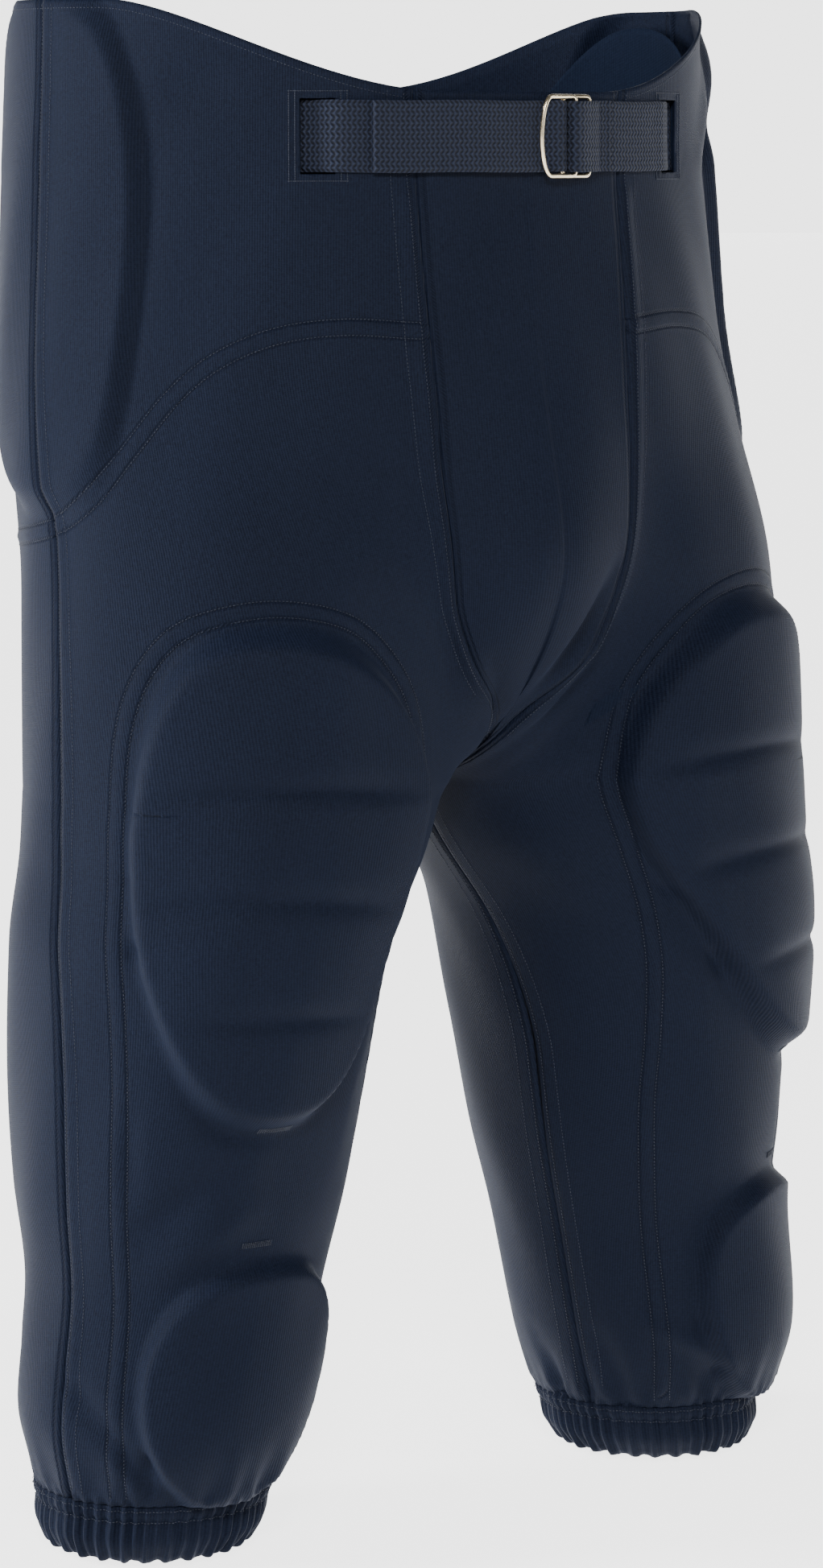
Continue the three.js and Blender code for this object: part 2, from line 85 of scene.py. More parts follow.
def through(stations, x):
    # a smooth curve through a few stations of place and value
    xs = np.array([s[0] for s in stations], float)
    ys = np.array([s[1] for s in stations], float)
    last = len(xs) - 1
    ahead = np.minimum(np.arange(last + 1) + 1, last)
    behind = np.maximum(np.arange(last + 1) - 1, 0)
    slopes = (ys[ahead] - ys[behind]) / (xs[ahead] - xs[behind])
    x = np.clip(x, xs[0], xs[-1])
    i = np.clip(np.searchsorted(xs, x) - 1, 0, last - 1)
    span = xs[i + 1] - xs[i]
    t = (x - xs[i]) / span
    bend = span * (slopes[i] * t * (1 - t) ** 2 - slopes[i + 1] * t * t * (1 - t))
    return mix(ys[i], ys[i + 1], t * t * (3 - 2 * t)) + bend


kneeR = cut["kneeRadius"]
cuffR = cut["cuffRadius"]
thighW = cut["thighWidth"]
thighD = cut["thighDepth"]
legWidth = [[0, cuffR], [0.09, cuffR + 10], [0.18, kneeR - 3], [0.35, kneeR + 1],
            [0.48, kneeR + 9], [0.64, thighW - 4], [0.8, thighW], [1, thighW + 12]]
legDepth = [[0, cuffR + 1], [0.09, cuffR + 10], [0.18, kneeR - 2], [0.35, kneeR + 2],
            [0.48, kneeR + 10], [0.64, thighD - 6], [0.8, thighD], [1, thighD + 4]]
legGap = [[0, cut["gapCuff"]], [0.09, cut["gapCuff"] - 14], [0.18, cut["gapKnee"] + 13],
          [0.35, cut["gapKnee"]], [0.48, cut["gapKnee"] - 12], [0.64, cut["gapThigh"] + 11],
          [0.8, cut["gapThigh"]], [0.92, cut["gapThigh"] - 20], [1, cut["gapTop"]]]
trunkWidth = [[0, cut["seatWidth"]], [0.2, cut["seatWidth"] + 1], [0.35, cut["seatWidth"] - 5],
              [0.6, cut["hipWidth"]], [0.83, cut["waistWidth"] + 1], [1, cut["waistWidth"]]]
trunkDepth = [[0, cut["seatDepth"]], [0.25, cut["seatDepth"] + 1], [0.4, cut["hipDepth"] + 4],
              [0.6, cut["hipDepth"]], [0.83, cut["waistDepth"] + 1], [1, cut["waistDepth"]]]
forward = cut["legForward"]
trunkForward = [[0, forward + 4], [0.18, forward - 3], [0.28, forward * 0.75],
                [0.42, forward * 0.35], [0.6, 4], [0.83, 0], [1, 0]]


def rimDip(u):
    return cut["frontDip"] * (1 - smooth(0.08, 0.42, u)) + cut["backDip"] * smooth(0.55, 0.85, u)


def basePoint(side, u, h):
    leg = np.minimum(1, h / cut["inseam"])
    angle = 2 * np.pi * u + math.radians(cut["twist"][side]) * (1 - smooth(0.6, 1, leg))
    legX = through(legGap, leg) + through(legWidth, leg) * (1 - np.cos(angle))
    legY = -forward - through(legDepth, leg) * np.sin(angle)
    trunk = np.maximum(0, (h - cut["inseam"]) / cut["rise"])
    trunkX = through(trunkWidth, trunk) * np.sin(np.pi * u)
    trunkY = -through(trunkForward, trunk) - through(trunkDepth, trunk) * np.cos(np.pi * u)
    down = np.clip((blendTop - h) / (blendTop - cut["inseam"]), 0, 1)
    rounded = 1 - np.sqrt(np.maximum(0, 1 - down * down))
    away = smooth(0, 0.2, np.minimum(u, 1 - u))
    share = np.where(h <= cut["inseam"], 1, mix(rounded, smooth(0, 1, down), away))
    z = h - rimDip(u) * smooth(blendTop, sideRim, h)
    return np.stack([side * mix(trunkX, legX, share), mix(trunkY, legY, share), z], -1)


def outward(side, u, h):
    du, dh = 0.002, 0.5
    along = basePoint(side, u + du, h) - basePoint(side, u - du, h)
    up = basePoint(side, u, h + dh) - basePoint(side, u, h - dh)
    n = np.cross(along, up) * side
    n[..., 2] *= smooth(28, 78, h)
    return n / np.linalg.norm(n, axis=-1, keepdims=True)


def placeAt(side, u, h, lift):
    # a point in metres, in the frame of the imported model
    u = np.asarray(u, float)
    h = np.asarray(h, float)
    p = basePoint(side, u, h) + outward(side, u, h) * np.asarray(lift, float)[..., None]
    p[..., 2] -= cut["beltHeight"]
    return p * mm


# pads, seams and folds that press on the knit
pads = dict(
    thigh=dict(at=0.298, half=0.117, h=319, tall=111, thick=14.0, square=2.5),
    knee=dict(at=0.275, half=0.120, h=83, tall=59, thick=10.0, square=2.3),
    hip=dict(at=0.505, half=0.140, h=598, tall=116, thick=8.0, square=3.0),
    tail=dict(at=1.0, half=0.105, h=sideRim - 120, tall=70, thick=10.0, square=3.2),
)
layers = dict(liner=1.0, skin=2.0, fabric=1.2)


def padReach(pad, u, h):
    # 1 on the pad's outline, less inside it; the foot of a pad is narrower than its head
    narrow = 1 - 0.13 * smooth(0.2, -1.0, (h - pad["h"]) / pad["tall"])
    x = np.abs(u - pad["at"]) / (pad["half"] * narrow)
    y = np.abs(h - pad["h"]) / pad["tall"]
    return (x ** pad["square"] + y ** pad["square"]) ** (1 / pad["square"])


def padRise(pad, u, h, inner=0.92, outer=1.06):
    reach = padReach(pad, u, h)
    crown = 0.86 + 0.14 * np.clip(1 - reach ** 2, 0, 1)
    return pad["thick"] * crown * smooth(outer, inner, reach)


flyStations = [[350, 0.0], [372, 0.005], [386, 0.02], [407, 0.062], [425, 0.086], [442, 0.099],
               [487, 0.101], [535, 0.098], [610, 0.104], [707, 0.109]]


def flySeam(h):
    return through(flyStations, h)


def sideSeam(h):
    return np.full_like(np.asarray(h, float), 0.49)


# one yoke row and one pocket arch a side, each a list of [u, h] that the rows follow
yokeLine = [[0.109, 565], [0.175, 567], [0.235, 563], [0.293, 551], [0.338, 535], [0.388, 511],
            [0.435, 490], [0.49, 477], [0.58, 470], [0.70, 467], [0.85, 470], [1.0, 472]]
archLine = [[0.425, 33], [0.431, 90], [0.436, 200], [0.437, 317], [0.434, 375], [0.418, 405],
            [0.386, 428], [0.347, 439], [0.285, 444], [0.225, 436], [0.190, 415], [0.172, 390],
            [0.167, 350], [0.163, 318], [0.135, 270], [0.110, 225], [0.098, 180], [0.095, 90], [0.095, 33]]
rowApart = 7.2


def metric(h):
    # how many millimetres one whole turn of u is worth at a height
    return through([[0, 280], [30, 345], [120, 415], [220, 500],
                    [320, 540], [400, 500], [520, 490], [709, 465]], h)


def linePoints(line, count=240):
    # even points along a soft curve through a line's stations
    p = np.array(line, float)
    flat = np.stack([p[:, 0] * 480, p[:, 1]], -1)
    run = np.concatenate([[0], np.cumsum(np.linalg.norm(np.diff(flat, axis=0), axis=1))])
    at = np.linspace(0, run[-1], count)
    return np.stack([through(list(zip(run, p[:, 0])), at), through(list(zip(run, p[:, 1])), at)], -1)


def offsetLine(points, distance):
    # the same line moved sideways by a distance in millimetres
    turn = metric(points[:, 1])
    du = np.gradient(points[:, 0]) * turn
    dh = np.gradient(points[:, 1])
    size = np.hypot(du, dh)
    return np.stack([points[:, 0] - dh / size * distance / turn, points[:, 1] + du / size * distance], -1)


def lineSide(points, u, h):
    # distance in millimetres from each place to a line, less than 0 on the line's right
    turn = metric(h)
    best = np.full(u.shape, 1e9)
    signed = np.full(u.shape, 99.0)
    for a, b in zip(points[:-4:4], points[4::4]):
        ax = (u - a[0]) * turn
        ay = h - a[1]
        bx = (b[0] - a[0]) * turn
        by = b[1] - a[1]
        t = np.clip((ax * bx + ay * by) / (bx * bx + by * by + 1e-9), 0, 1)
        far = np.hypot(ax - t * bx, ay - t * by)
        nearer = far < best
        signed = np.where(nearer, far * np.sign(bx * ay - by * ax), signed)
        best = np.where(nearer, far, best)
    return signed


yokeRows = [linePoints(yokeLine), offsetLine(linePoints(yokeLine), -rowApart)]
archRows = [linePoints(archLine, 320), offsetLine(linePoints(archLine, 320), rowApart)]

# soft folds: [side, u, h, du, dh, width, depth], a line from a place along du, dh
folds = [
    [-1, 0.475, 84, -0.095, -44, 6, -4.5], [-1, 0.45, 72, -0.07, -40, 5, 2.6],
    [1, 0.080, 448, -0.070, -62, 8, -7.0], [1, 0.098, 428, -0.085, -50, 6, 4.0],
    [1, 0.072, 408, -0.062, -30, 5, -5.0], [-1, 0.05, 412, -0.045, -40, 6, -4.0],
    [1, 0.115, 404, -0.085, -34, 6, -3.2], [1, 0.20, 396, -0.12, -34, 9, -3.0],
    [1, 0.31, 185, 0.0, -45, 5, -2.4], [-1, 0.42, 214, 0.0, -40, 5, -1.6],
    [-1, 0.27, 690, 0.07, -22, 10, -1.8], [1, 0.30, 650, 0.12, 42, 12, 3.6], [1, 0.33, 636, 0.12, 42, 9, -2.4],
    [1, 0.93, 60, 0.02, -40, 6, -3.0], [1, 0.03, 66, 0.03, -42, 6, -3.0],
    [1, 0.12, 62, 0.06, -30, 5, -2.6], [1, 0.09, 74, 0.10, -22, 5, 1.8],
    [-1, 0.62, 90, 0.05, -50, 8, -3.2], [-1, 0.72, 60, -0.04, -30, 6, -2.6],
    [1, 0.62, 90, 0.05, -50, 8, -3.2], [-1, 0.86, 390, 0.1, -34, 9, -3.6], [1, 0.86, 390, 0.1, -34, 9, -3.6],
    [-1, 0.05, 330, 0.10, 26, 7, -2.4], [1, 0.05, 330, 0.12, 20, 8, -3.2],
    [-1, 0.30, 168, 0.09, -26, 8, 2.2], [-1, 0.33, 190, 0.07, -30, 7, -2.2],
]


def foldRise(side, u, h):
    rise = np.zeros_like(u)
    for who, u0, h0, du, dh, width, depth in folds:
        if who != side:
            continue
        turn = metric(h)
        bx, by = du * turn, dh
        ax, ay = (u - u0) * turn, h - h0
        t = np.clip((ax * bx + ay * by) / (bx * bx + by * by), 0, 1)
        far = np.hypot(ax - t * bx, ay - t * by)
        rise += depth * np.exp(-(far / width) ** 2) * np.sin(np.pi * (0.12 + 0.76 * t))
    return rise


cuff = dict(height=28, folds=56, depth=1.25, above=40)


def cuffRise(side, u, h):
    # gathers of the elastic hem: tight pleats in the band that fade into the leg above
    turn = 2 * np.pi * u
    wander = 0.5 * np.sin(3 * turn + 0.8 * side) + 0.4 * np.sin(7 * turn + 2) + 0.3 * np.sin(11 * turn + side)
    uneven = 0.8 + 0.25 * np.sin(5 * turn + 1 + side) + 0.2 * np.sin(13 * turn)
    tight = np.cos(cuff["folds"] * turn + 1.5 * wander)
    loose = np.cos(cuff["folds"] / 2 * turn + 1.6 * wander + 0.4 * side)
    broad = np.cos(cuff["folds"] / 4 * turn + 2.2 * wander + 1.0)
    high = np.clip((h - cuff["height"]) / cuff["above"], 0, 1)
    calm = 0.5 + 0.5 * smooth(-0.6, 0.6, np.sin(2 * turn + 1.1 * side))
    band = smooth(cuff["height"] + 8, cuff["height"] - 2, h)
    start = smooth(0, 0.2, high)
    rise = cuff["depth"] * uneven * tight * band
    rise += calm * (1.9 * loose * uneven * start * (1 - high) ** 2 + 1.5 * broad * start * (1 - high))
    return rise


def seamDip(far, depth, width):
    return -depth * np.exp(-(far / width) ** 2)


quilt = dict(levels=(361, 311, 259), droop=7)            # the channels across a thigh pad
cup = dict(h=470, wide=46, tall=62, proud=10.0)


def clothLift(side, u, h):
    # height of the knit's outer face above the base surface
    lift = np.full(u.shape, layers["skin"] + layers["fabric"])
    for name in ("thigh", "knee", "hip", "tail"):
        lift += padRise(pads[name], u, h)
    thigh = pads["thigh"]
    inThigh = smooth(0.95, 0.5, padReach(thigh, u, h))
    for level in quilt["levels"]:
        droop = level - quilt["droop"] * ((u - thigh["at"]) / thigh["half"]) ** 2
        lift -= 1.6 * inThigh * np.exp(-((h - droop) / 6.0) ** 2)
        lift -= 1.3 * inThigh * np.exp(-((h - droop) / 2.6) ** 2)
    for name, waves in (("thigh", 9), ("knee", 6)):       # puckers round a pad's lower edge
        pad = pads[name]
        reach = padReach(pad, u, h)
        bearing = np.arctan2(h - pad["h"], (u - pad["at"]) * metric(h))
        low = smooth(0.15, -0.4, np.sin(bearing))
        band = np.exp(-((reach - 1.03) / 0.06) ** 2)
        lift -= 2.6 * low * band * np.maximum(0, np.cos(waves * bearing + 2.1 * np.sin(2.3 * bearing))) ** 3
    onTrunk = smooth(cut["inseam"], cut["inseam"] + 40, h)
    swelling = np.exp(-((u * metric(h) * 0.98) / cup["wide"]) ** 2 - ((h - cup["h"]) / cup["tall"]) ** 2)
    lift += cup["proud"] * swelling * onTrunk
    turn = metric(h)
    flyFar = (u - flySeam(h)) * turn
    underBelt = smooth(640, 660, h)
    lift += onTrunk * seamDip(flyFar, 1.1, 1.6)
    lift += onTrunk * (1 - underBelt) * 1.3 * np.exp(-((flyFar - 5.0) / 4.0) ** 2)
    sideFar = (u - 0.49) * turn
    lift += seamDip(sideFar, 1.7, 1.7) + 0.9 * np.exp(-((sideFar + 4.2) / 3.2) ** 2)
    below = 1 - onTrunk
    lift += below * seamDip(np.minimum(u, 1 - u) * turn, 1.2, 1.4)
    lift += onTrunk * seamDip((1 - u) * turn, 1.2, 1.4)
    lift += seamDip(lineSide(yokeRows[0], u, h) + rowApart / 2, -0.8, 2.2)
    lift += seamDip(lineSide(archRows[0], u, h) - rowApart / 2, -0.8, 2.2)
    lift += foldRise(side, u, h)
    between = smooth(40, 120, h) * smooth(700, 600, h)       # calm at the cuffs and the waist
    lift += 0.8 * np.sin(u * 17 + 1.3 * side) * np.sin(h / 47.0 + 2.0 * u) * between
    lift += 0.35 * np.sin(u * 61 + h / 23.0 + side) * between
    lift += np.where(h < cuff["height"] + cuff["above"] + 2, cuffRise(side, u, h), 0)
    lift -= 0.9 * smooth(cuff["height"] + 5, cuff["height"], h)
    inTunnel = smooth(0.20, 0.26, u)                      # the belt lies outside ahead of this
    level = h - rimDip(u) * smooth(blendTop, sideRim, h) - cut["beltHeight"]
    lift += inTunnel * 0.2 * smooth(22, 13, np.abs(level))
    lift += (0.4 + 0.6 * inTunnel) * smooth(sideRim - 5, sideRim - 1.5, h)
    return lift


# mesh helpers
def newMesh(name, points, faces, uv=None):
    mesh = bpy.data.meshes.new(name)
    faces = np.asarray(faces, np.int32)
    mesh.vertices.add(len(points))
    mesh.vertices.foreach_set("co", np.asarray(points, np.float32).ravel())
    corners = faces.shape[1]
    mesh.loops.add(faces.size)
    mesh.loops.foreach_set("vertex_index", faces.ravel())
    mesh.polygons.add(len(faces))
    mesh.polygons.foreach_set("loop_start", np.arange(0, faces.size, corners, dtype=np.int32))
    mesh.update(calc_edges=True)
    if uv is not None:
        layer = mesh.uv_layers.new(name="weave")
        layer.data.foreach_set("uv", np.asarray(uv, np.float32)[faces.ravel()].ravel())
    mesh.shade_smooth()
    return mesh


def tubeFaces(high, wide, closed=False):
    # quads of a tube with high sections of wide points; closed joins its last section to its first
    j, i = np.meshgrid(np.arange(high if closed else high - 1), np.arange(wide), indexing="ij")
    ahead = (j + 1) % high
    around = (i + 1) % wide
    corners = (j * wide + i, j * wide + around, ahead * wide + around, ahead * wide + i)
    return np.stack([c.ravel() for c in corners], -1)


def faceOut(mesh):
    # turns the faces outwards where the mesh is inside out
    form = bmesh.new()
    form.from_mesh(mesh)
    if form.calc_volume(signed=True) < 0:
        mesh.flip_normals()
    form.free()


def addPiece(name, mesh, material):
    piece = bpy.data.objects.new(name, mesh)
    bpy.context.scene.collection.objects.link(piece)
    piece.data.materials.append(material)
    return piece


def shellFaces(wide, high, ringed=False):
    # quads of an outer grid, an inner grid and the walls that join them
    count = wide * high
    span = wide if ringed else wide - 1
    i, j = np.meshgrid(np.arange(span), np.arange(high - 1))
    a = (j * wide + i).ravel()
    b = (j * wide + (i + 1) % wide).ravel()
    outer = np.stack([a, b, b + wide, a + wide], -1)
    inner = outer[:, ::-1] + count
    i = np.arange(span)
    k = (i + 1) % wide
    top = (high - 1) * wide
    walls = [np.stack([k, i, i + count, k + count], -1),
             np.stack([top + i, top + k, top + k + count, top + i + count], -1)]
    if not ringed:
        j = np.arange(high - 1) * wide
        r = j + wide - 1
        walls.append(np.stack([j, j + wide, j + wide + count, j + count], -1))
        walls.append(np.stack([r + wide, r, r + count, r + wide + count], -1))
    return np.concatenate([outer, inner] + walls)


def shell(name, outer, inner, uv, material, ringed=False):
    high, wide = outer.shape[:2]
    faces = shellFaces(wide, high, ringed)
    points = np.concatenate([outer.reshape(-1, 3), inner.reshape(-1, 3)])
    flat = uv.reshape(-1, 2)
    mesh = newMesh(name, points, faces, np.concatenate([flat, flat]))
    tris = np.concatenate([faces[:, [0, 1, 2]], faces[:, [0, 2, 3]]])
    p = points[tris]
    volume = np.einsum("ij,ij->i", p[:, 0], np.cross(p[:, 1], p[:, 2])).sum()
    if volume < 0:
        mesh.flip_normals()
    return addPiece(name, mesh, material)


def clothSize(outer):
    # width, length and area of a cloth as it lies on the body
    across = np.linalg.norm(np.diff(outer, axis=1), axis=2).sum(axis=1).max()
    along = np.linalg.norm(np.diff(outer, axis=0), axis=2).sum(axis=0).max()
    a = outer[1:, :-1] - outer[:-1, :-1]
    b = outer[:-1, 1:] - outer[:-1, :-1]
    return across, along, np.linalg.norm(np.cross(a, b), axis=2).sum()


def declareSheet(outer):
    # measures the cloth's width, length and area as it lies, and keeps none of them
    across, along, area = clothSize(outer)


# shader maths
class Sock:
    # a node socket that takes part in sums
    def __init__(self, tree, out):
        self.tree = tree
        self.out = out

    def math(self, operation, *others):
        node = addNode(self.tree, "ShaderNodeMath", dict(operation=operation), [self, *others])
        return Sock(self.tree, node.outputs[0])

    def __add__(self, other): return self.math("ADD", other)
    def __radd__(self, other): return self.math("ADD", other)
    def __mul__(self, other): return self.math("MULTIPLY", other)
    def __rmul__(self, other): return self.math("MULTIPLY", other)
    def __sub__(self, other): return self.math("SUBTRACT", other)
    def __rsub__(self, other):
        return addNode(self.tree, "ShaderNodeMath", dict(operation="SUBTRACT"), [other, self], wrap=True)

    def __truediv__(self, other): return self.math("DIVIDE", other)


def addNode(tree, kind, settings=None, values=None, wrap=False):
    # settings are set first, then socket values or links, by place or by name
    node = tree.nodes.new(kind)
    for key, value in (settings or {}).items():
        setattr(node, key, value)
    pairs = values.items() if isinstance(values, dict) else enumerate(values or [])
    for key, value in pairs:
        if isinstance(value, Sock):
            tree.links.new(value.out, node.inputs[key])
        else:
            node.inputs[key].default_value = value
    return Sock(tree, node.outputs[0]) if wrap else node


def colourMix(tree, factor, a, b):
    node = addNode(tree, "ShaderNodeMix", dict(data_type="RGBA"))
    for key, value in ((0, factor), (6, a), (7, b)):
        if isinstance(value, Sock):
            tree.links.new(value.out, node.inputs[key])
        else:
            node.inputs[key].default_value = value
    return Sock(tree, node.outputs[2])


def startMaterial(name):
    material = bpy.data.materials.new(name)
    material.use_nodes = True
    tree = material.node_tree
    tree.nodes.clear()
    shader = tree.nodes.new("ShaderNodeBsdfPrincipled")
    output = tree.nodes.new("ShaderNodeOutputMaterial")
    tree.links.new(shader.outputs[0], output.inputs[0])
    return material, tree, shader


def feed(tree, shader, name, value):
    tree.links.new(value.out, shader.inputs[name])


def bumpFrom(tree, shader, height, strength, distance):
    bump = addNode(tree, "ShaderNodeBump", None, dict(Strength=strength, Distance=distance, Height=height))
    tree.links.new(bump.outputs[0], shader.inputs["Normal"])


def weaveAxes(tree):
    # the piece's own map, in millimetres round and along
    source = addNode(tree, "ShaderNodeUVMap", dict(uv_map="weave"))
    parts = addNode(tree, "ShaderNodeSeparateXYZ", None, [Sock(tree, source.outputs[0])])
    return Sock(tree, parts.outputs[0]), Sock(tree, parts.outputs[1])


def noise(tree, scale, detail=3.0, rough=0.55):
    place = addNode(tree, "ShaderNodeTexCoord")
    node = addNode(tree, "ShaderNodeTexNoise", None,
                   dict(Vector=Sock(tree, place.outputs["Object"]), Scale=scale, Detail=detail, Roughness=rough))
    return Sock(tree, node.outputs[0])


knitLook = dict(deep=(0.0042, 0.0066, 0.0165, 1), light=(0.0185, 0.0275, 0.060, 1), ribPitch=1.15, rowPitch=0.9)


def lineMask(distance, at, half):
    # 1 on a line at one distance, down to 0 at half a width from it
    near = 1 - (distance - at).math("ABSOLUTE") / half
    return near.math("MAXIMUM", 0.0)


def pressedRowsAndShade(tree, across, along):
    # the stitched rows: a pressed line and the stitch holes along it, pressed in and also painted as shade in the
    # colour
    source = addNode(tree, "ShaderNodeAttribute", dict(attribute_name="rows"))
    parts = addNode(tree, "ShaderNodeSeparateXYZ", None, [Sock(tree, source.outputs["Vector"])])
    yoke, arch, edge = (Sock(tree, parts.outputs[i]) for i in range(3))
    pairs = ((yoke, 0.0), (yoke, -rowApart), (arch, 0.0), (arch, rowApart), (edge, 3.0))
    line = None
    for distance, at in pairs:
        mask = lineMask(distance, at, 1.3)
        line = mask if line is None else line.math("MAXIMUM", mask)
    pitDepthAndShade = ((across + along) * (2 * math.pi / 1.7)).math("SINE") * 0.5 + 0.5
    return line, line.math("POWER", 0.8) * (pitDepthAndShade * 0.85 + 0.15)


def knitMaterial(name, look, rough=0.62, sheen=0.05, rows=False):
    material, tree, shader = startMaterial(name)
    across, along = weaveAxes(tree)
    rib = (across * (2 * math.pi / look["ribPitch"])).math("SINE")
    row = (along * (2 * math.pi / look["rowPitch"]) + across * 1.2).math("SINE")
    loop = rib * 0.36 + row * 0.14
    fleck = noise(tree, 780, 3.0, 0.75)
    cloud = noise(tree, 9, 3.0, 0.5)
    shade = loop * 0.42 + fleck * 1.5 + cloud * 0.30 - 0.46
    height = loop * 0.7 + fleck * 0.5
    if rows:
        line, pitDepthAndShade = pressedRowsAndShade(tree, across, along)
        # painted shade: the knit's colour goes nearly black in the stitch holes along the stitched rows
        shade = shade * (1 - pitDepthAndShade * 0.95)
        height = height - line * 2.5 - pitDepthAndShade * 3.0
    shade = addNode(tree, "ShaderNodeClamp", None, [shade], wrap=True)
    feed(tree, shader, "Base Color", colourMix(tree, shade, look["deep"], look["light"]))
    feed(tree, shader, "Roughness", fleck * 0.16 + (rough - 0.08))
    bumpFrom(tree, shader, height, 0.42, 0.0005)
    shader.inputs["Sheen Weight"].default_value = sheen
    shader.inputs["Sheen Roughness"].default_value = 0.35
    shader.inputs["Sheen Tint"].default_value = (0.62, 0.66, 0.74, 1)
    shader.inputs["Specular IOR Level"].default_value = 0.08
    return material


knit = knitMaterial("navyKnit", knitLook, rows=True)
lining = knitMaterial("liningKnit", dict(deep=(0.006, 0.010, 0.026, 1), light=(0.016, 0.027, 0.058, 1),
                                         ribPitch=1.7, rowPitch=1.4), 0.8, 0.03)
elasticKnit = knitMaterial("wovenElastic", dict(deep=(0.010, 0.014, 0.03, 1), light=(0.03, 0.04, 0.07, 1),
                                                ribPitch=2.2, rowPitch=1.1), 0.8, 0.03)


def foamMaterial():
    material, tree, shader = startMaterial("closedCellFoam")
    place = addNode(tree, "ShaderNodeTexCoord")
    cells = addNode(tree, "ShaderNodeTexVoronoi", dict(feature="F1"),
                    dict(Vector=Sock(tree, place.outputs["Object"]), Scale=900.0))
    cell = Sock(tree, cells.outputs[0])
    cloud = noise(tree, 30)
    shade = addNode(tree, "ShaderNodeClamp", None, [cell * 0.7 + cloud * 0.5 - 0.1], wrap=True)
    feed(tree, shader, "Base Color", colourMix(tree, shade, (0.012, 0.014, 0.02, 1), (0.05, 0.055, 0.07, 1)))
    feed(tree, shader, "Roughness", cloud * 0.2 + 0.68)
    bumpFrom(tree, shader, cell, 0.4, 0.0006)
    return material


def webbingMaterial():
    # herringbone: slanted ribs that turn back on themselves across the width
    material, tree, shader = startMaterial("herringboneWebbing")
    along, across = weaveAxes(tree)
    zig = (across / 2.0).math("PINGPONG", 1.0) * 1.5
    rib = ((along + zig) * (2 * math.pi / 2.3)).math("SINE")
    thread = (across * (2 * math.pi / 2.0)).math("COSINE")
    fleck = noise(tree, 1100, 2.0, 0.7)
    shade = addNode(tree, "ShaderNodeClamp", None, [rib * 0.42 + thread * 0.22 + fleck * 0.8 + 0.02], wrap=True)
    feed(tree, shader, "Base Color", colourMix(tree, shade, (0.003, 0.0045, 0.011, 1), (0.040, 0.053, 0.102, 1)))
    feed(tree, shader, "Roughness", fleck * 0.2 + 0.6)
    bumpFrom(tree, shader, rib * 0.8 + thread * 0.3 + fleck * 0.2, 0.7, 0.0007)
    shader.inputs["Sheen Weight"].default_value = 0.04
    shader.inputs["Specular IOR Level"].default_value = 0.2
    return material


def metalMaterial():
    material, tree, shader = startMaterial("paleNickel")
    wear = noise(tree, 120, 4.0, 0.6)
    fine = noise(tree, 900, 3.0, 0.6)
    feed(tree, shader, "Base Color", colourMix(tree, wear, (0.60, 0.49, 0.32, 1), (0.82, 0.72, 0.53, 1)))
    feed(tree, shader, "Roughness", fine * 0.16 + wear * 0.12 + 0.10)
    bumpFrom(tree, shader, fine, 0.08, 0.0002)
    shader.inputs["Metallic"].default_value = 1.0
    return material


def threadMaterial():
    material, tree, shader = startMaterial("navyThread")
    ply = noise(tree, 2600, 2.0, 0.6)
    feed(tree, shader, "Base Color", colourMix(tree, ply, (0.003, 0.005, 0.013, 1), (0.030, 0.042, 0.080, 1)))
    feed(tree, shader, "Roughness", ply * 0.2 + 0.45)
    bumpFrom(tree, shader, ply, 0.4, 0.0003)
    return material


foam = foamMaterial()
webbing = webbingMaterial()
metal = metalMaterial()
thread = threadMaterial()
print("stage: materials made")


# knit panels
panel = dict(columns=104, legRows=146, bendRows=104, topRows=62, thick=1.2, seamGap=0.08, low=28.4)


def panelLevels(low):
    bend = blendTop - cut["inseam"]
    turn = np.linspace(1, 0, panel["bendRows"], endpoint=False)
    return np.concatenate([
        np.linspace(low, cut["inseam"], panel["legRows"], endpoint=False),
        blendTop - bend * np.sin(0.5 * np.pi * turn),
        np.linspace(blendTop, sideRim, panel["topRows"]),
    ])


def keepApart(points, side):
    # no side panel reaches over the centre plane
    points[..., 0] = side * np.maximum(side * points[..., 0], 0.15 * mm)
    return points


def relax(points, u, h, rounds=60):
    # softens the crease where the legs meet the trunk
    nearFork = smooth(0.30, 0.12, np.minimum(u, 1 - u)) * np.exp(-((h - cut["inseam"]) / 26) ** 2)
    weight = (0.5 * nearFork)[1:-1, :, None]
    for _ in range(rounds):
        even = (points[:-2] + points[2:]) / 2
        points[1:-1] += (even - points[1:-1]) * weight
    return points


def setRows(piece, yoke, arch, edge):
    # distances to the stitched rows, which the knit's material draws as pressed lines with painted shade in their
    # stitch holes
    attribute = piece.data.attributes.new("rows", "FLOAT_VECTOR", "POINT")
    flat = np.stack([yoke, arch, edge], -1).reshape(-1, 3)
    count = len(piece.data.vertices)
    flat = np.concatenate([flat] * (count // len(flat)))
    attribute.data.foreach_set("vector", flat.astype(np.float32).ravel())


def knitPanel(name, side, leftEdge, rightEdge, middle, nodes):
    h = panelLevels(panel["low"])[:, None]
    turn = metric(h)
    a = np.linspace(0, 1, panel["columns"] + 1)[None, :]
    left = leftEdge(h)
    right = rightEdge(h)
    u = mix(left + panel["seamGap"] / turn, right - panel["seamGap"] / turn, a)
    h = np.broadcast_to(h, u.shape)
    lift = clothLift(side, u, h)
    outer = keepApart(relax(placeAt(side, u, h, lift), u, h), side)
    inner = keepApart(relax(placeAt(side, u, h, lift - panel["thick"]), u, h), side)
    turn = metric(h)
    uv = np.stack([(u - middle) * turn, h], -1)
    piece = shell(name, outer, inner, uv, knit)
    edge = np.minimum((u - left) * turn, (right - u) * turn)
    setRows(piece, lineSide(yokeRows[0], u, h), lineSide(archRows[0], u, h), edge)
    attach(piece, bodyName)
    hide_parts(*nodes)
    return piece, outer


def frontEdge(h):
    return np.where(h > cut["inseam"], flySeam(h), 0)


def backEdge(h):
    return np.ones_like(h)


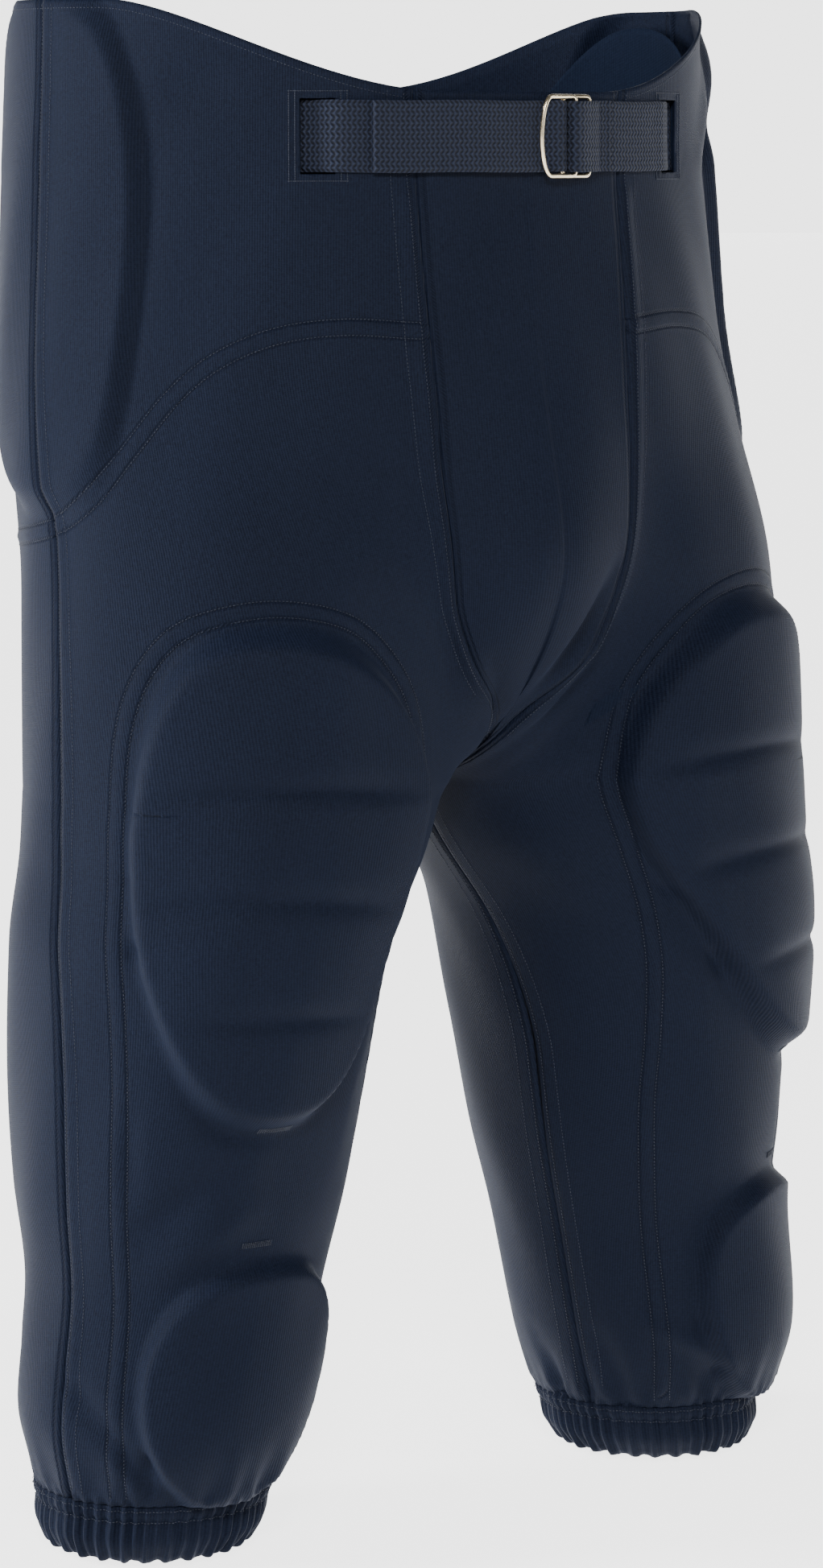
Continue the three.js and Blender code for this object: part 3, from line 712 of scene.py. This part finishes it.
fronts = {}
for side, word in words.items():
    piece, outer = knitPanel(word + "FrontPanel", side, frontEdge, sideSeam, 0.27, [word + "_front_panel"])
    fronts[side] = (piece, outer)
    declareSheet(outer)
    piece, outer = knitPanel(word + "BackPanel", side, sideSeam, backEdge, 0.75, [word + "_back_panel"])
    declareSheet(outer)
print("stage: side panels made")


insert = dict(low=353, lowRows=110, columns=61)          # an odd count keeps a column on the centre


def flyPanel():
    h = np.concatenate([np.linspace(insert["low"], blendTop, insert["lowRows"], endpoint=False),
                        np.linspace(blendTop, sideRim, panel["topRows"])])[:, None]
    x = np.linspace(-1, 1, insert["columns"])[None, :]
    turn = metric(h)
    u = np.abs(x) * np.maximum(flySeam(h) - panel["seamGap"] / turn, 0.0004)
    h = np.broadcast_to(h, u.shape)
    layers3d = []
    for drop in (0, panel["thick"]):
        halves = {s: placeAt(s, u, h, clothLift(s, u, h) - drop) for s in (-1, 1)}
        whole = np.where(x[..., None] < 0, halves[-1], halves[1])
        whole[:, insert["columns"] // 2, 0] = 0
        layers3d.append(whole)
    turn = metric(h)
    uv = np.stack([u * turn * np.sign(x), h], -1)
    piece = shell("flyPanel", layers3d[0], layers3d[1], uv, knit)
    setRows(piece, np.full(u.shape, 99.0), np.full(u.shape, 99.0), (flySeam(h) - u) * turn)
    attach(piece, bodyName)
    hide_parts("fly_panel")
    declareSheet(layers3d[0])


flyPanel()
print("stage: front insert made")


# cuffs
def waistNormal(side, u, h):
    n = outward(side, u, h)
    n[..., 2] = 0
    return n / np.linalg.norm(n, axis=-1, keepdims=True)


def levelPlace(side, u, h, lift):
    u = np.asarray(u, float)
    h = np.asarray(h, float)
    p = basePoint(side, u, h) + waistNormal(side, u, h) * np.asarray(lift, float)[..., None]
    p[..., 2] -= cut["beltHeight"]
    return p * mm


def cuffBand(side, word):
    wide = cuff["folds"] * 8
    u = np.linspace(0, 1, wide, endpoint=False)[None, :]
    h = np.linspace(0.4, cuff["height"] + 3, 34)[:, None]
    u, h = np.broadcast_arrays(u, h)
    lift = layers["skin"] + layers["fabric"] + cuffRise(side, u, np.minimum(h, cuff["height"]))
    lift = lift + 2.0 * np.sin(np.pi * np.clip(h / 21, 0, 1)) ** 2        # the elastic fills the band
    lift = lift - 2.6 * smooth(cuff["height"] - 0.6, cuff["height"] + 0.8, h)      # its top goes up inside the leg
    for row in (20.5, 26.5):                                              # rows that gather the band
        lift = lift - 0.8 * np.exp(-((h - row) / 1.3) ** 2)
    lift = lift - 1.2 * smooth(3, 0, h)                                    # the turned lower edge
    outer = levelPlace(side, u, h, lift)
    outer[..., 2] += 1.1 * mm * np.sin(2 * np.pi * cuff["folds"] / 2 * u + 1.7) * smooth(12, 0, h)
    outer[..., 2] = np.maximum(outer[..., 2], -cut["beltHeight"] * mm)
    inner = levelPlace(side, u, h, np.minimum(lift - 1.1, lift * 0.2 + 1.2))
    inner[..., 2] = outer[..., 2]
    uv = np.stack([u * 290, h], -1)
    piece = shell(word + "CuffCasing", outer, inner, uv, knit, ringed=True)
    far = np.full(u.shape, 99.0)
    setRows(piece, far, far, far)
    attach(piece, bodyName)
    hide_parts(word + "_cuff_casing")
    declareSheet(outer)
    top = layers["skin"] - 0.5
    u, h = np.broadcast_arrays(u[:1], np.linspace(6, 22, 9)[:, None])
    ripple = 0.12 * np.cos(2 * np.pi * cuff["folds"] * u)
    outer = levelPlace(side, u, h, top - 0.15 + ripple)
    inner = levelPlace(side, u, h, top - 1.2 + ripple)
    piece = shell(word + "CuffElastic", outer, inner, np.stack([u * 280, h], -1), elasticKnit, ringed=True)
    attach(piece, bodyName)
    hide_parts(word + "_cuff_elastic")
    declareSheet(outer)


for side, word in words.items():
    cuffBand(side, word)
print("stage: cuffs made")


# pads and the pocket liners behind them
def roundGrid(at, half, middle, tall, wide, high, corner=0.8):
    # an even grid pulled in at the corners, as u and h
    x = np.linspace(-1, 1, wide)[None, :]
    y = np.linspace(-1, 1, high)[:, None]
    u = at + half * x * np.sqrt(1 - corner * y * y / 2)
    h = middle + tall * y * np.sqrt(1 - corner * x * x / 2)
    return np.broadcast_arrays(u, h)


def overCentre(side, u, h, lift):
    # places that may go past the back centre
    near = placeAt(side, np.minimum(u, 1), h, lift)
    far = placeAt(-side, np.minimum(2 - u, 1), h, lift)
    return np.where((u > 1)[..., None], far, near)


swell = dict(voxel=0.00225, pressure=4.0, quality=4, frames=12, cap=0.0004)


def puff(piece):
    # a short cloth run that rounds a pad, with its movement kept under a cap
    bpy.context.view_layer.objects.active = piece
    remesh = piece.modifiers.new("remesh", "REMESH")
    remesh.mode = "VOXEL"
    remesh.voxel_size = swell["voxel"]
    graph = bpy.context.evaluated_depsgraph_get()
    mesh = bpy.data.meshes.new_from_object(piece.evaluated_get(graph))
    piece.modifiers.clear()
    piece.data = mesh
    count = len(mesh.vertices)
    start = np.empty(count * 3)
    mesh.vertices.foreach_get("co", start)
    cloth = piece.modifiers.new("cloth", "CLOTH")
    cloth.settings.use_pressure = True
    cloth.settings.uniform_pressure_force = swell["pressure"]
    cloth.settings.effector_weights.gravity = 0
    cloth.settings.quality = swell["quality"]
    cloth.point_cache.frame_start = 1
    cloth.point_cache.frame_end = swell["frames"]
    scene = bpy.context.scene
    for frameAt in range(1, swell["frames"] + 1):
        scene.frame_set(frameAt)
    graph = bpy.context.evaluated_depsgraph_get()
    moved = np.empty(count * 3)
    piece.evaluated_get(graph).data.vertices.foreach_get("co", moved)
    piece.modifiers.clear()
    scene.frame_set(1)
    shift = (moved - start).reshape(-1, 3)
    size = np.linalg.norm(shift, axis=1, keepdims=True)
    shift *= np.minimum(1, swell["cap"] / np.maximum(size, 1e-9))
    mesh.vertices.foreach_set("co", (start.reshape(-1, 3) + shift).ravel())
    mesh.update()
    mesh.shade_smooth()


padRoom = dict(thigh=(0.92, 34, 52), knee=(0.90, 24, 26), hip=(0.84, 34, 48), tail=(0.9, 24, 30))


def makePad(name, key, side, node):
    pad = pads[key]
    share, wide, high = padRoom[key]
    u, h = roundGrid(pad["at"], pad["half"] * share * 0.97, pad["h"], pad["tall"] * share, wide, high, 0.62)
    reach = np.maximum(np.abs(np.linspace(-1, 1, wide))[None, :], np.abs(np.linspace(-1, 1, high))[:, None])
    crown = smooth(1.0, 0.88, reach) * 0.75 + 0.25
    rise = padRise(pad, np.where(u > 1, 2 - u, u), h) if key == "tail" else padRise(pad, u, h)
    top = layers["skin"] + np.maximum(0.8, (np.minimum(rise, pad["thick"]) - 3.2) * crown)
    outer = overCentre(side, u, h, top)
    inner = overCentre(side, u, h, np.full(u.shape, layers["skin"] + 0.2))
    piece = shell(name, outer, inner, np.stack([u * 500, h], -1), foam)
    puff(piece)
    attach(piece, bodyName)
    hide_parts(node)


liners = dict(
    leg=dict(at=0.288, half=0.176, h=235, tall=202),
    hip=dict(at=0.525, half=0.172, h=591, tall=110),
    tail=dict(at=1.0, half=0.148, h=sideRim - 120, tall=84),
)


def makeLiner(name, key, side, node):
    liner = liners[key]
    u, h = roundGrid(liner["at"], liner["half"], liner["h"], liner["tall"], 40, 60)
    ripple = 0.12 * np.sin(u * 90) * np.sin(h / 11)
    outer = overCentre(side, u, h, layers["liner"] - 0.1 + ripple)
    inner = overCentre(side, u, h, ripple)
    piece = shell(name, outer, inner, np.stack([u * 500, h], -1), lining)
    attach(piece, bodyName)
    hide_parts(node)
    declareSheet(outer)


for side, word in words.items():
    for key in ("thigh", "knee", "hip"):
        makePad(word + key.title() + "Pad", key, side, word + "_" + key + "_pad")
    makeLiner(word + "LegPadLiner", "leg", side, word + "_leg_pad_liner")
    makeLiner(word + "HipPadLiner", "hip", side, word + "_hip_pad_liner")
makePad("tailPad", "tail", 1, "tail_pad")
makeLiner("tailPadLiner", "tail", 1, "tail_pad_liner")
print("stage: pads and liners made")


# places along the belt
belt = dict(width=32.0, thick=1.5, gap=0.6, slotAt=0.194, slotLength=16.0, slotRoom=0.7)
outerLift = layers["skin"] + layers["fabric"]


def levelAt(u, height):
    h = np.full(np.shape(u), float(height)) if np.ndim(height) == 0 else np.array(height, float)
    start = h.copy()
    for _ in range(30):
        h = start + rimDip(u) * smooth(blendTop, sideRim, h)
    return h


def waistPlace(side, u, lift, up):
    # up is measured from the middle of the belt
    u, lift, up = np.broadcast_arrays(np.asarray(u, float), lift, up)
    return levelPlace(side, u, levelAt(u, cut["beltHeight"] + up), lift)


runU = np.linspace(0, 1, 401)
runPoints = waistPlace(1, runU, 0.0, 0.0) / mm
runLength = np.concatenate([[0], np.cumsum(np.linalg.norm(np.diff(runPoints, axis=0), axis=1))])
totalRun = runLength[-1]
slotRun = float(np.interp(belt["slotAt"], runU, runLength))


def beltPlace(distance, lift, up):
    distance, lift, up = np.broadcast_arrays(np.asarray(distance, float), lift, up)
    distance = np.where(distance > totalRun, distance - 2 * totalRun, distance)
    u = np.interp(np.abs(distance), runLength, runU)
    left = waistPlace(1, u, lift, up)
    right = waistPlace(-1, u, lift, up)
    return np.where((distance < 0)[..., None], right, left)


def resample(path, step):
    path = np.array(path, float)
    run = np.concatenate([[0], np.cumsum(np.linalg.norm(np.diff(path, axis=0), axis=1))])
    at = np.linspace(0, run[-1], max(4, int(run[-1] / step)))
    return np.stack([through(list(zip(run, path[:, 0])), at), through(list(zip(run, path[:, 1])), at)], -1), at


def webStrap(name, path, node, step=1.6):
    # a flat strap with soft edges, from a path of distance along the belt and lift
    points, run = resample(path, step)
    ahead = np.gradient(points, axis=0)
    ahead /= np.linalg.norm(ahead, axis=1, keepdims=True)
    normal = np.stack([-ahead[:, 1], ahead[:, 0]], -1)
    half = belt["width"] / 2
    across = np.linspace(-half + 1.2, half - 1.2, 19)
    thick = belt["thick"] / 2
    top = [(a, 1.0) for a in across]
    section = [(-half, 0.28), (-half + 0.35, 0.72)] + top + [(half - 0.35, 0.72), (half, 0.28)]
    count = len(section)
    off = np.array([s[1] for s in section] + [-s[1] for s in section[::-1]]) * thick
    up = np.array([s[0] for s in section] + [s[0] for s in section[::-1]])
    distance = points[:, :1] + normal[:, :1] * off
    lift = points[:, 1:] + normal[:, 1:] * off
    wave = 0.15 * np.sin(run / 9.0)[:, None]
    places = beltPlace(distance, lift, up[None, :] + wave)
    wide = 2 * count
    high = len(points)
    faces = [tubeFaces(high, wide)]
    k = np.arange(count - 1)
    cap = np.stack([k, k + 1, wide - 2 - k, wide - 1 - k], -1)
    faces.append(cap[:, ::-1])
    faces.append(cap + (high - 1) * wide)
    uv = np.stack([np.broadcast_to(run[:, None], distance.shape), np.broadcast_to(up[None, :], distance.shape)], -1)
    faces = np.concatenate(faces)
    flat = places.reshape(-1, 3)
    mesh = newMesh(name, flat, faces, uv.reshape(-1, 2))
    faceOut(mesh)
    piece = addPiece(name, mesh, webbing)
    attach(piece, bodyName)
    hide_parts(node)
    return piece


insideLift = -belt["gap"] - belt["thick"] / 2
outsideLift = outerLift + belt["gap"] + belt["thick"] / 2
midLift = (insideLift + outsideLift) / 2
halfSlot = belt["slotLength"] / 2
ring = dict(wire=2.2, side=0.7, width=22.0, round=14.0, stack=0.6, bars=11.0, offset=22.0)
wire = ring["wire"] / 2
barOne = ring["offset"]
barTwo = ring["offset"] + ring["bars"]
arcTwo = barTwo - ring["width"] + ring["wire"]
underTop = outsideLift + belt["thick"] / 2
ringTwoLift = underTop + belt["gap"] + wire
ringOneLift = ringTwoLift + ring["wire"] + ring["stack"]
overArc = ringTwoLift + wire + belt["gap"] + belt["thick"] / 2
tailLift = underTop + belt["gap"] + belt["thick"] / 2
foldReach = wire + belt["gap"] + belt["thick"] / 2
foldAlong = foldReach + 2.4


def evenRun(start, end, lift, step=8):
    count = max(1, round(abs(end - start) / step))
    return [[mix(start, end, i / count), lift] for i in range(count + 1)]


angles = [-math.pi / 2 + math.pi * i / 8 for i in range(9)]
fold = [[arcTwo + foldAlong * math.cos(a), ringTwoLift + (overArc - ringTwoLift) * math.sin(a)] for a in angles]
outsideStart = -slotRun + halfSlot + 16
frontPath = [[1 - slotRun - halfSlot, insideLift], [1 - slotRun, midLift], [1 - slotRun + halfSlot, outsideLift]]
frontPath += evenRun(outsideStart, arcTwo - 2, outsideLift) + fold + evenRun(arcTwo - 7.5, outsideStart, tailLift)
webStrap("beltFrontRun", frontPath, "belt_front_run", 1.2)

loopLeft = barOne - foldReach
loopTopLeft = ringOneLift + foldReach
loopTopRight = ringTwoLift + foldReach
sewnLift = outsideLift + belt["thick"] + 0.5
sewnStart = barTwo + foldReach + 4
strapPath = [[slotRun + halfSlot - 1, insideLift], [slotRun, midLift]]
strapPath += evenRun(slotRun - halfSlot - 1, loopLeft + 1.2, outsideLift)
strapPath += [[loopLeft, outsideLift + 1.4], [loopLeft, loopTopLeft - 1.4], [loopLeft + 1.2, loopTopLeft],
              [barOne + 2.5, loopTopLeft], [barTwo + 1.5, loopTopRight],
              [sewnStart, sewnLift], [sewnStart + 9, sewnLift]]
webStrap("ringStrap", strapPath, "ring_strap", 1.0)
backStart = slotRun + halfSlot + 1
backPath = evenRun(backStart, 2 * totalRun - backStart, insideLift)
webStrap("beltBackRun", backPath, "belt_back_run", 4.0)
print("stage: belt made")


# belt tunnel facings and the patches behind the slots
def waistSheet(name, side, start, end, low, high, lift, columns, node):
    u = np.linspace(start, end, columns)[None, :]
    up = np.linspace(low, high, 9)[:, None]
    outer = waistPlace(side, u, lift, up)
    inner = waistPlace(side, u, lift - 0.95, up)
    uv = np.stack(np.broadcast_arrays(u * 480, up), -1)
    piece = shell(name, outer, inner, uv, lining)
    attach(piece, bodyName)
    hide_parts(node)
    declareSheet(outer)


facingLift = insideLift - belt["thick"] / 2 - 0.95
for side, word in words.items():
    waistSheet(word + "BeltFacing", side, 0.170, 0.9994, -20.5, 20.5, facingLift, 160, word + "_belt_facing")
    waistSheet(word + "SlotPatch", side, 0.214, 0.269, -17.5, 17.5, 1.0, 24, word + "_slot_patch")


def cutSlot(side):
    # the hole in the knit that the belt goes through: cut the mesh on four planes,
    # take out what lies between them, and join the two layers round the hole
    piece = fronts[side][0]
    middle = Vector(beltPlace(side * slotRun, outerLift, 0.0))
    level = levelAt(np.array([belt["slotAt"]]), cut["beltHeight"])
    out = Vector(waistNormal(side, np.array([belt["slotAt"]]), level)[0])
    along = Vector((-out.y, out.x, 0))
    reach = (belt["slotLength"] / 2 * mm, (belt["width"] / 2 + belt["slotRoom"]) * mm)
    nearby, farSide, hair = 0.006, -0.03, -1e-6
    form = bmesh.new()
    form.from_mesh(piece.data)

    def within(place, spare):
        away = place - middle
        inside = abs(away.dot(along)) < reach[0] + spare and abs(away.z) < reach[1] + spare
        return inside and away.dot(out) > farSide

    for axis, half in ((along, reach[0]), (Vector((0, 0, 1)), reach[1])):
        for sign in (-1, 1):
            faces = [f for f in form.faces if within(f.calc_center_median(), nearby)]
            edges = {e for f in faces for e in f.edges}
            verts = {v for f in faces for v in f.verts}
            bmesh.ops.bisect_plane(form, geom=list(verts) + list(edges) + faces, dist=1e-6,
                                   plane_co=middle + axis * (half * sign), plane_no=axis)
    gone = [f for f in form.faces if within(f.calc_center_median(), hair)]
    bmesh.ops.delete(form, geom=gone, context="FACES")
    loose = [e for e in form.edges if len(e.link_faces) == 1]
    bmesh.ops.bridge_loops(form, edges=loose)
    bmesh.ops.recalc_face_normals(form, faces=form.faces)
    form.to_mesh(piece.data)
    form.free()
    piece.data.shade_smooth()
    print("slot", piece.name, len(gone), len(loose))


for side in words:
    cutSlot(side)
print("stage: slots cut")


# rings
def makeRing(name, bar, lift, body):
    high = belt["width"] / 2 + ring["side"] + wire
    reach = ring["width"] - ring["wire"] - ring["round"]
    bend = 2.0
    turns = [math.pi / 2 + math.pi * i / 24 for i in range(25)]
    corner = [math.pi / 2 * i / 6 for i in range(7)]
    path = [[0, y] for y in np.linspace(bend - high, high - bend, 13)]
    path += [[-bend + bend * math.cos(c), high - bend + bend * math.sin(c)] for c in corner[1:]]
    path += [[x, high] for x in np.linspace(-bend, -ring["round"], 8)[1:-1]]
    path += [[-ring["round"] + reach * math.cos(t), high * math.sin(t)] for t in turns]
    path += [[x, -high] for x in np.linspace(-ring["round"], -bend, 8)[1:-1]]
    lower = [c - math.pi / 2 for c in corner[:-1]]
    path += [[-bend + bend * math.cos(c), bend - high + bend * math.sin(c)] for c in lower]
    path = np.array(path)
    start = beltPlace(bar, lift, 0.0)
    end = beltPlace(bar - ring["width"] + ring["wire"], lift, 0.0)
    along = -(end - start)
    along[2] = 0
    along /= np.linalg.norm(along)
    out = np.array([along[1], -along[0], 0])
    ahead = np.roll(path, -1, 0) - np.roll(path, 1, 0)
    ahead /= np.linalg.norm(ahead, axis=1, keepdims=True)
    sides = 16
    k = 2 * np.pi * np.arange(sides) / sides
    px = path[:, :1] + ahead[:, 1:] * np.cos(k) * wire
    pz = path[:, 1:] - ahead[:, :1] * np.cos(k) * wire
    depth = np.broadcast_to(np.sin(k) * wire, px.shape)
    points = start + mm * (px[..., None] * along + depth[..., None] * out + pz[..., None] * np.array([0, 0, 1]))
    mesh = newMesh(name, points.reshape(-1, 3), tubeFaces(len(path), sides, closed=True))
    faceOut(mesh)
    piece = addPiece(name, mesh, metal)
    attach(piece, body)
    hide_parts("front_ring" if bar == barOne else "rear_ring")


makeRing("frontRing", barOne, ringOneLift, "front_ring")
makeRing("rearRing", barTwo, ringTwoLift, bodyName)
print("stage: rings made")


# stitches, set along lines by one node group
stitch = dict(pitch=1.7 * mm, length=1.15 * mm, width=0.42 * mm, seed=7)
# places of the rows: offsets from seams and levels in millimetres, slot edges and tacks in turns
rowPlan = dict(
    fly=((4.2, 376), (11.0, 398)), side=(-3.0, -9.0), inseam=(3.2, 9.5), hem=(20.5, 26.0),
    rimDrop=4.2, top=706, slotReach=20, slotEdges=(-0.026, -0.0205, 0.026, 0.0205),
    tackLevels=(206, 152), tackSpan=(0.275, 0.306),
)


def stitchTree():
    tree = bpy.data.node_groups.new("stitchRow", "GeometryNodeTree")
    face = tree.interface
    face.new_socket("Geometry", in_out="INPUT", socket_type="NodeSocketGeometry")
    sizes = (("Pitch", "NodeSocketFloat", stitch["pitch"]), ("Length", "NodeSocketFloat", stitch["length"]),
             ("Width", "NodeSocketFloat", stitch["width"]), ("Seed", "NodeSocketInt", stitch["seed"]),
             ("Finish", "NodeSocketMaterial", None))
    for label, kind, value in sizes:
        made = face.new_socket(label, in_out="INPUT", socket_type=kind)
        if value is not None:
            made.default_value = value
    face.new_socket("Geometry", in_out="OUTPUT", socket_type="NodeSocketGeometry")
    given = tree.nodes.new("NodeGroupInput")
    result = tree.nodes.new("NodeGroupOutput")

    def node(kind, settings=None, values=None):
        return addNode(tree, kind, settings, values)

    def out(source, key):
        return Sock(tree, source.outputs[key])

    curve = node("GeometryNodeMeshToCurve", None, [out(given, "Geometry")])
    even = node("GeometryNodeResampleCurve", dict(mode="LENGTH"),
                {"Curve": out(curve, 0), "Length": out(given, "Pitch")})
    ball = node("GeometryNodeMeshUVSphere", None, {"Segments": 6, "Rings": 4, "Radius": 0.5})
    facing = node("GeometryNodeInputNamedAttribute", dict(data_type="FLOAT_VECTOR"), {"Name": "facing"})
    tangent = node("GeometryNodeInputTangent")
    turned = node("FunctionNodeAxesToRotation", dict(primary_axis="X", secondary_axis="Z"),
                  [out(tangent, 0), out(facing, 0)])
    jitter = node("FunctionNodeRandomValue", dict(data_type="FLOAT"),
                  {"Min": 0.85, "Max": 1.12, "Seed": out(given, "Seed")})
    size = node("ShaderNodeCombineXYZ", None, [out(given, "Length"), out(given, "Width"), out(given, "Width")])
    grown = node("ShaderNodeVectorMath", dict(operation="SCALE"),
                 {"Vector": out(size, 0), "Scale": out(jitter, "Value")})
    put = node("GeometryNodeInstanceOnPoints", None, {"Points": out(even, 0), "Instance": out(ball, 0),
                                                      "Rotation": out(turned, 0), "Scale": out(grown, 0)})
    real = node("GeometryNodeRealizeInstances", None, [out(put, 0)])
    paint = node("GeometryNodeSetMaterial", None, {"Geometry": out(real, 0), "Material": out(given, "Finish")})
    tree.links.new(paint.outputs[0], result.inputs[0])
    return tree


rowTree = stitchTree()


def stitchRows(name, rows, material, pitch=1.0, length=1.0, width=1.0, seed=7):
    # rows is a list of (places, facings): a plain mesh of all their stitches
    points = np.concatenate([r[0] for r in rows])
    facing = np.concatenate([r[1] for r in rows])
    edges = []
    start = 0
    for places, _ in rows:
        edges += [(start + i, start + i + 1) for i in range(len(places) - 1)]
        start += len(places)
    lines = bpy.data.meshes.new(name + "Lines")
    lines.from_pydata(points.tolist(), edges, [])
    attribute = lines.attributes.new("facing", "FLOAT_VECTOR", "POINT")
    attribute.data.foreach_set("vector", facing.astype(np.float32).ravel())
    piece = bpy.data.objects.new(name, lines)
    bpy.context.scene.collection.objects.link(piece)
    modifier = piece.modifiers.new("stitches", "NODES")
    modifier.node_group = rowTree
    values = {"Pitch": stitch["pitch"] * pitch, "Length": stitch["length"] * length,
              "Width": stitch["width"] * width, "Seed": seed, "Finish": material}
    for item in rowTree.interface.items_tree:
        if item.in_out == "INPUT" and item.name in values:
            modifier[item.identifier] = values[item.name]
    graph = bpy.context.evaluated_depsgraph_get()
    mesh = bpy.data.meshes.new_from_object(piece.evaluated_get(graph))
    piece.modifiers.clear()
    piece.data = mesh
    mesh.shade_smooth()
    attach(piece, bodyName)
    print("stitches", name, len(mesh.polygons))
    return piece


def rowOn(side, u, h, proud=0.12):
    # a row of stitches on the knit, as places and the way it faces there
    u = np.asarray(u, float)
    h = np.broadcast_to(np.asarray(h, float), u.shape)
    lift = clothLift(side, u, h) + proud
    return placeAt(side, u, h, lift), outward(side, u, h)


def seamRow(side, edge, offset, low, high):
    h = np.linspace(low, high, int((high - low) / 2))
    u = edge(h) + offset / metric(h)
    return rowOn(side, u, h)


for side, word in words.items():
    rows = [seamRow(side, flySeam, offset, low, rowPlan["top"]) for offset, low in rowPlan["fly"]]
    rows += [seamRow(side, sideSeam, offset, 34, rowPlan["top"]) for offset in rowPlan["side"]]
    for line in yokeRows + archRows:
        inFront = line[(line[:, 0] > flySeam(np.maximum(line[:, 1], 350)) + 0.004) & (line[:, 0] < 0.488)]
        rows.append(rowOn(side, inFront[:, 0], inFront[:, 1]))
        behind = line[line[:, 0] > 0.494]
        if len(behind) > 4:
            rows.append(rowOn(side, np.minimum(behind[:, 0], 0.998), behind[:, 1]))
    u = np.linspace(0.12, 0.997, 260)
    rows.append(rowOn(side, u, np.full(260, sideRim - rowPlan["rimDrop"])))
    for offset in rowPlan["inseam"]:
        rows.append(seamRow(side, np.zeros_like, offset, 40, 340))
        h = np.linspace(40, 340, 150)
        rows.append(rowOn(side, 1 - offset / metric(h), h))
    u = np.linspace(0.002, 0.998, 260)
    for level in rowPlan["hem"]:
        lift = layers["skin"] + layers["fabric"] + cuffRise(side, u, np.full(260, level)) + 0.2
        rows.append((levelPlace(side, u, np.full(260, level), lift), waistNormal(side, u, np.full(260, level))))
    stitchRows(word + "Stitches", rows, thread, seed=11 + side)
    box = []
    reach = rowPlan["slotReach"]
    edge = max(rowPlan["slotEdges"])
    for dh in (-reach, reach):
        u = np.linspace(belt["slotAt"] - edge, belt["slotAt"] + edge, 14)
        box.append(rowOn(side, u, levelAt(u, cut["beltHeight"] + dh)))
    for du in rowPlan["slotEdges"]:
        up = np.linspace(-reach, reach, 20)
        u = np.full(20, belt["slotAt"] + du)
        box.append(rowOn(side, u, levelAt(u, cut["beltHeight"] + up)))
    stitchRows(word + "SlotStitches", box, thread, 0.62, 0.95, 1.15, 5)
    tacks = []
    for level in rowPlan["tackLevels"]:
        for line in np.linspace(-1.1, 1.1, 5):
            u = np.linspace(*rowPlan["tackSpan"], 9)
            tacks.append(rowOn(side, u, np.full(9, level + line), 0.25))
    stitchRows(word + "BarTacks", tacks, thread, 0.6, 0.8, 1.3, 3)
rows = []
up = np.linspace(-14.5, 14.5, 20)
for place in (sewnStart + 2, sewnStart + 6.5):
    spots = beltPlace(np.full(20, place), sewnLift + 0.85, up)
    around = np.interp(np.full(20, place), runLength, runU)
    rows.append((spots, waistNormal(1, around, levelAt(around, cut["beltHeight"]))))
stitchRows("strapStitches", rows, thread, 1.0, 1.1, 1.3, 9)
print("stage: stitches made")


# floor, light and camera
room = dict(floorDrop=0.003, floorSize=80.0, wallPlace=30.0, wallHeight=12.0,
            floorShade=(0.86, 0.86, 0.86, 1), floorRough=0.9, glow=3.0, world=0.11)
# each light's place, what it points at, its two sides and its power
lights = dict(
    keyLight=((-1.35, -2.0, 1.15), (0, 0, -0.2), (0.55, 0.55), 36),
    rightLight=((1.5, -2.0, 0.9), (0, 0, -0.1), (0.5, 0.5), 9),
    leftStrip=((-1.9, 0.7, 0.2), (0, 0, -0.2), (0.4, 1.8), 46),
)


def makeRoom():
    material, _, shader = startMaterial("paleFloor")
    shader.inputs["Base Color"].default_value = room["floorShade"]
    shader.inputs["Roughness"].default_value = room["floorRough"]
    shader.inputs["Emission Color"].default_value = (1, 1, 1, 1)
    shader.inputs["Emission Strength"].default_value = room["glow"]
    half = room["floorSize"] / 2
    z = cadBox[0][2] - room["floorDrop"]
    mesh = bpy.data.meshes.new("floor")
    back, top = room["wallPlace"], z + room["wallHeight"]
    places = [(-half, -half, z), (half, -half, z), (half, back, z), (-half, back, z),
              (-half, back, top), (half, back, top)]
    mesh.from_pydata(places, [], [(0, 1, 2, 3), (3, 2, 5, 4)])
    floor = bpy.data.objects.new("floor", mesh)
    floor.rotation_euler[2] = math.radians(view["azimuth"])
    floor.visible_diffuse = False  # the glow stays on the floor and leaves the cloth's shadows deep
    bpy.context.scene.collection.objects.link(floor)
    mesh.materials.append(material)
    world = bpy.data.worlds.new("room")
    bpy.context.scene.world = world
    world.use_nodes = True
    sky = world.node_tree.nodes["Background"]
    sky.inputs[0].default_value = (1, 1, 1, 1)
    sky.inputs[1].default_value = room["world"]


def softLight(name, place, aim, size, power):
    lamp = bpy.data.lights.new(name, "AREA")
    lamp.shape = "RECTANGLE"
    lamp.size, lamp.size_y = size
    lamp.energy = power
    item = bpy.data.objects.new(name, lamp)
    item.location = place
    item.rotation_euler = (Vector(aim) - Vector(place)).to_track_quat("-Z", "Y").to_euler()
    bpy.context.scene.collection.objects.link(item)


view = dict(azimuth=-35.0, distance=2.25, pitch=-7.84, yaw=-35.549, lens=108.0)


def makeCamera():
    lens = bpy.data.cameras.new("mainCamera")
    lens.lens = view["lens"]
    lens.sensor_fit = "VERTICAL"
    lens.sensor_height = 36
    lens.clip_start = 0.05
    item = bpy.data.objects.new("mainCamera", lens)
    turn = math.radians(view["azimuth"])
    item.location = (view["distance"] * math.sin(turn), -view["distance"] * math.cos(turn), 0)
    item.rotation_euler = (math.radians(90 + view["pitch"]), 0, math.radians(view["yaw"]))
    bpy.context.scene.collection.objects.link(item)
    bpy.context.scene.camera = item


makeRoom()
for name, light in lights.items():
    softLight(name, *light)
makeCamera()
print("stage: room made")
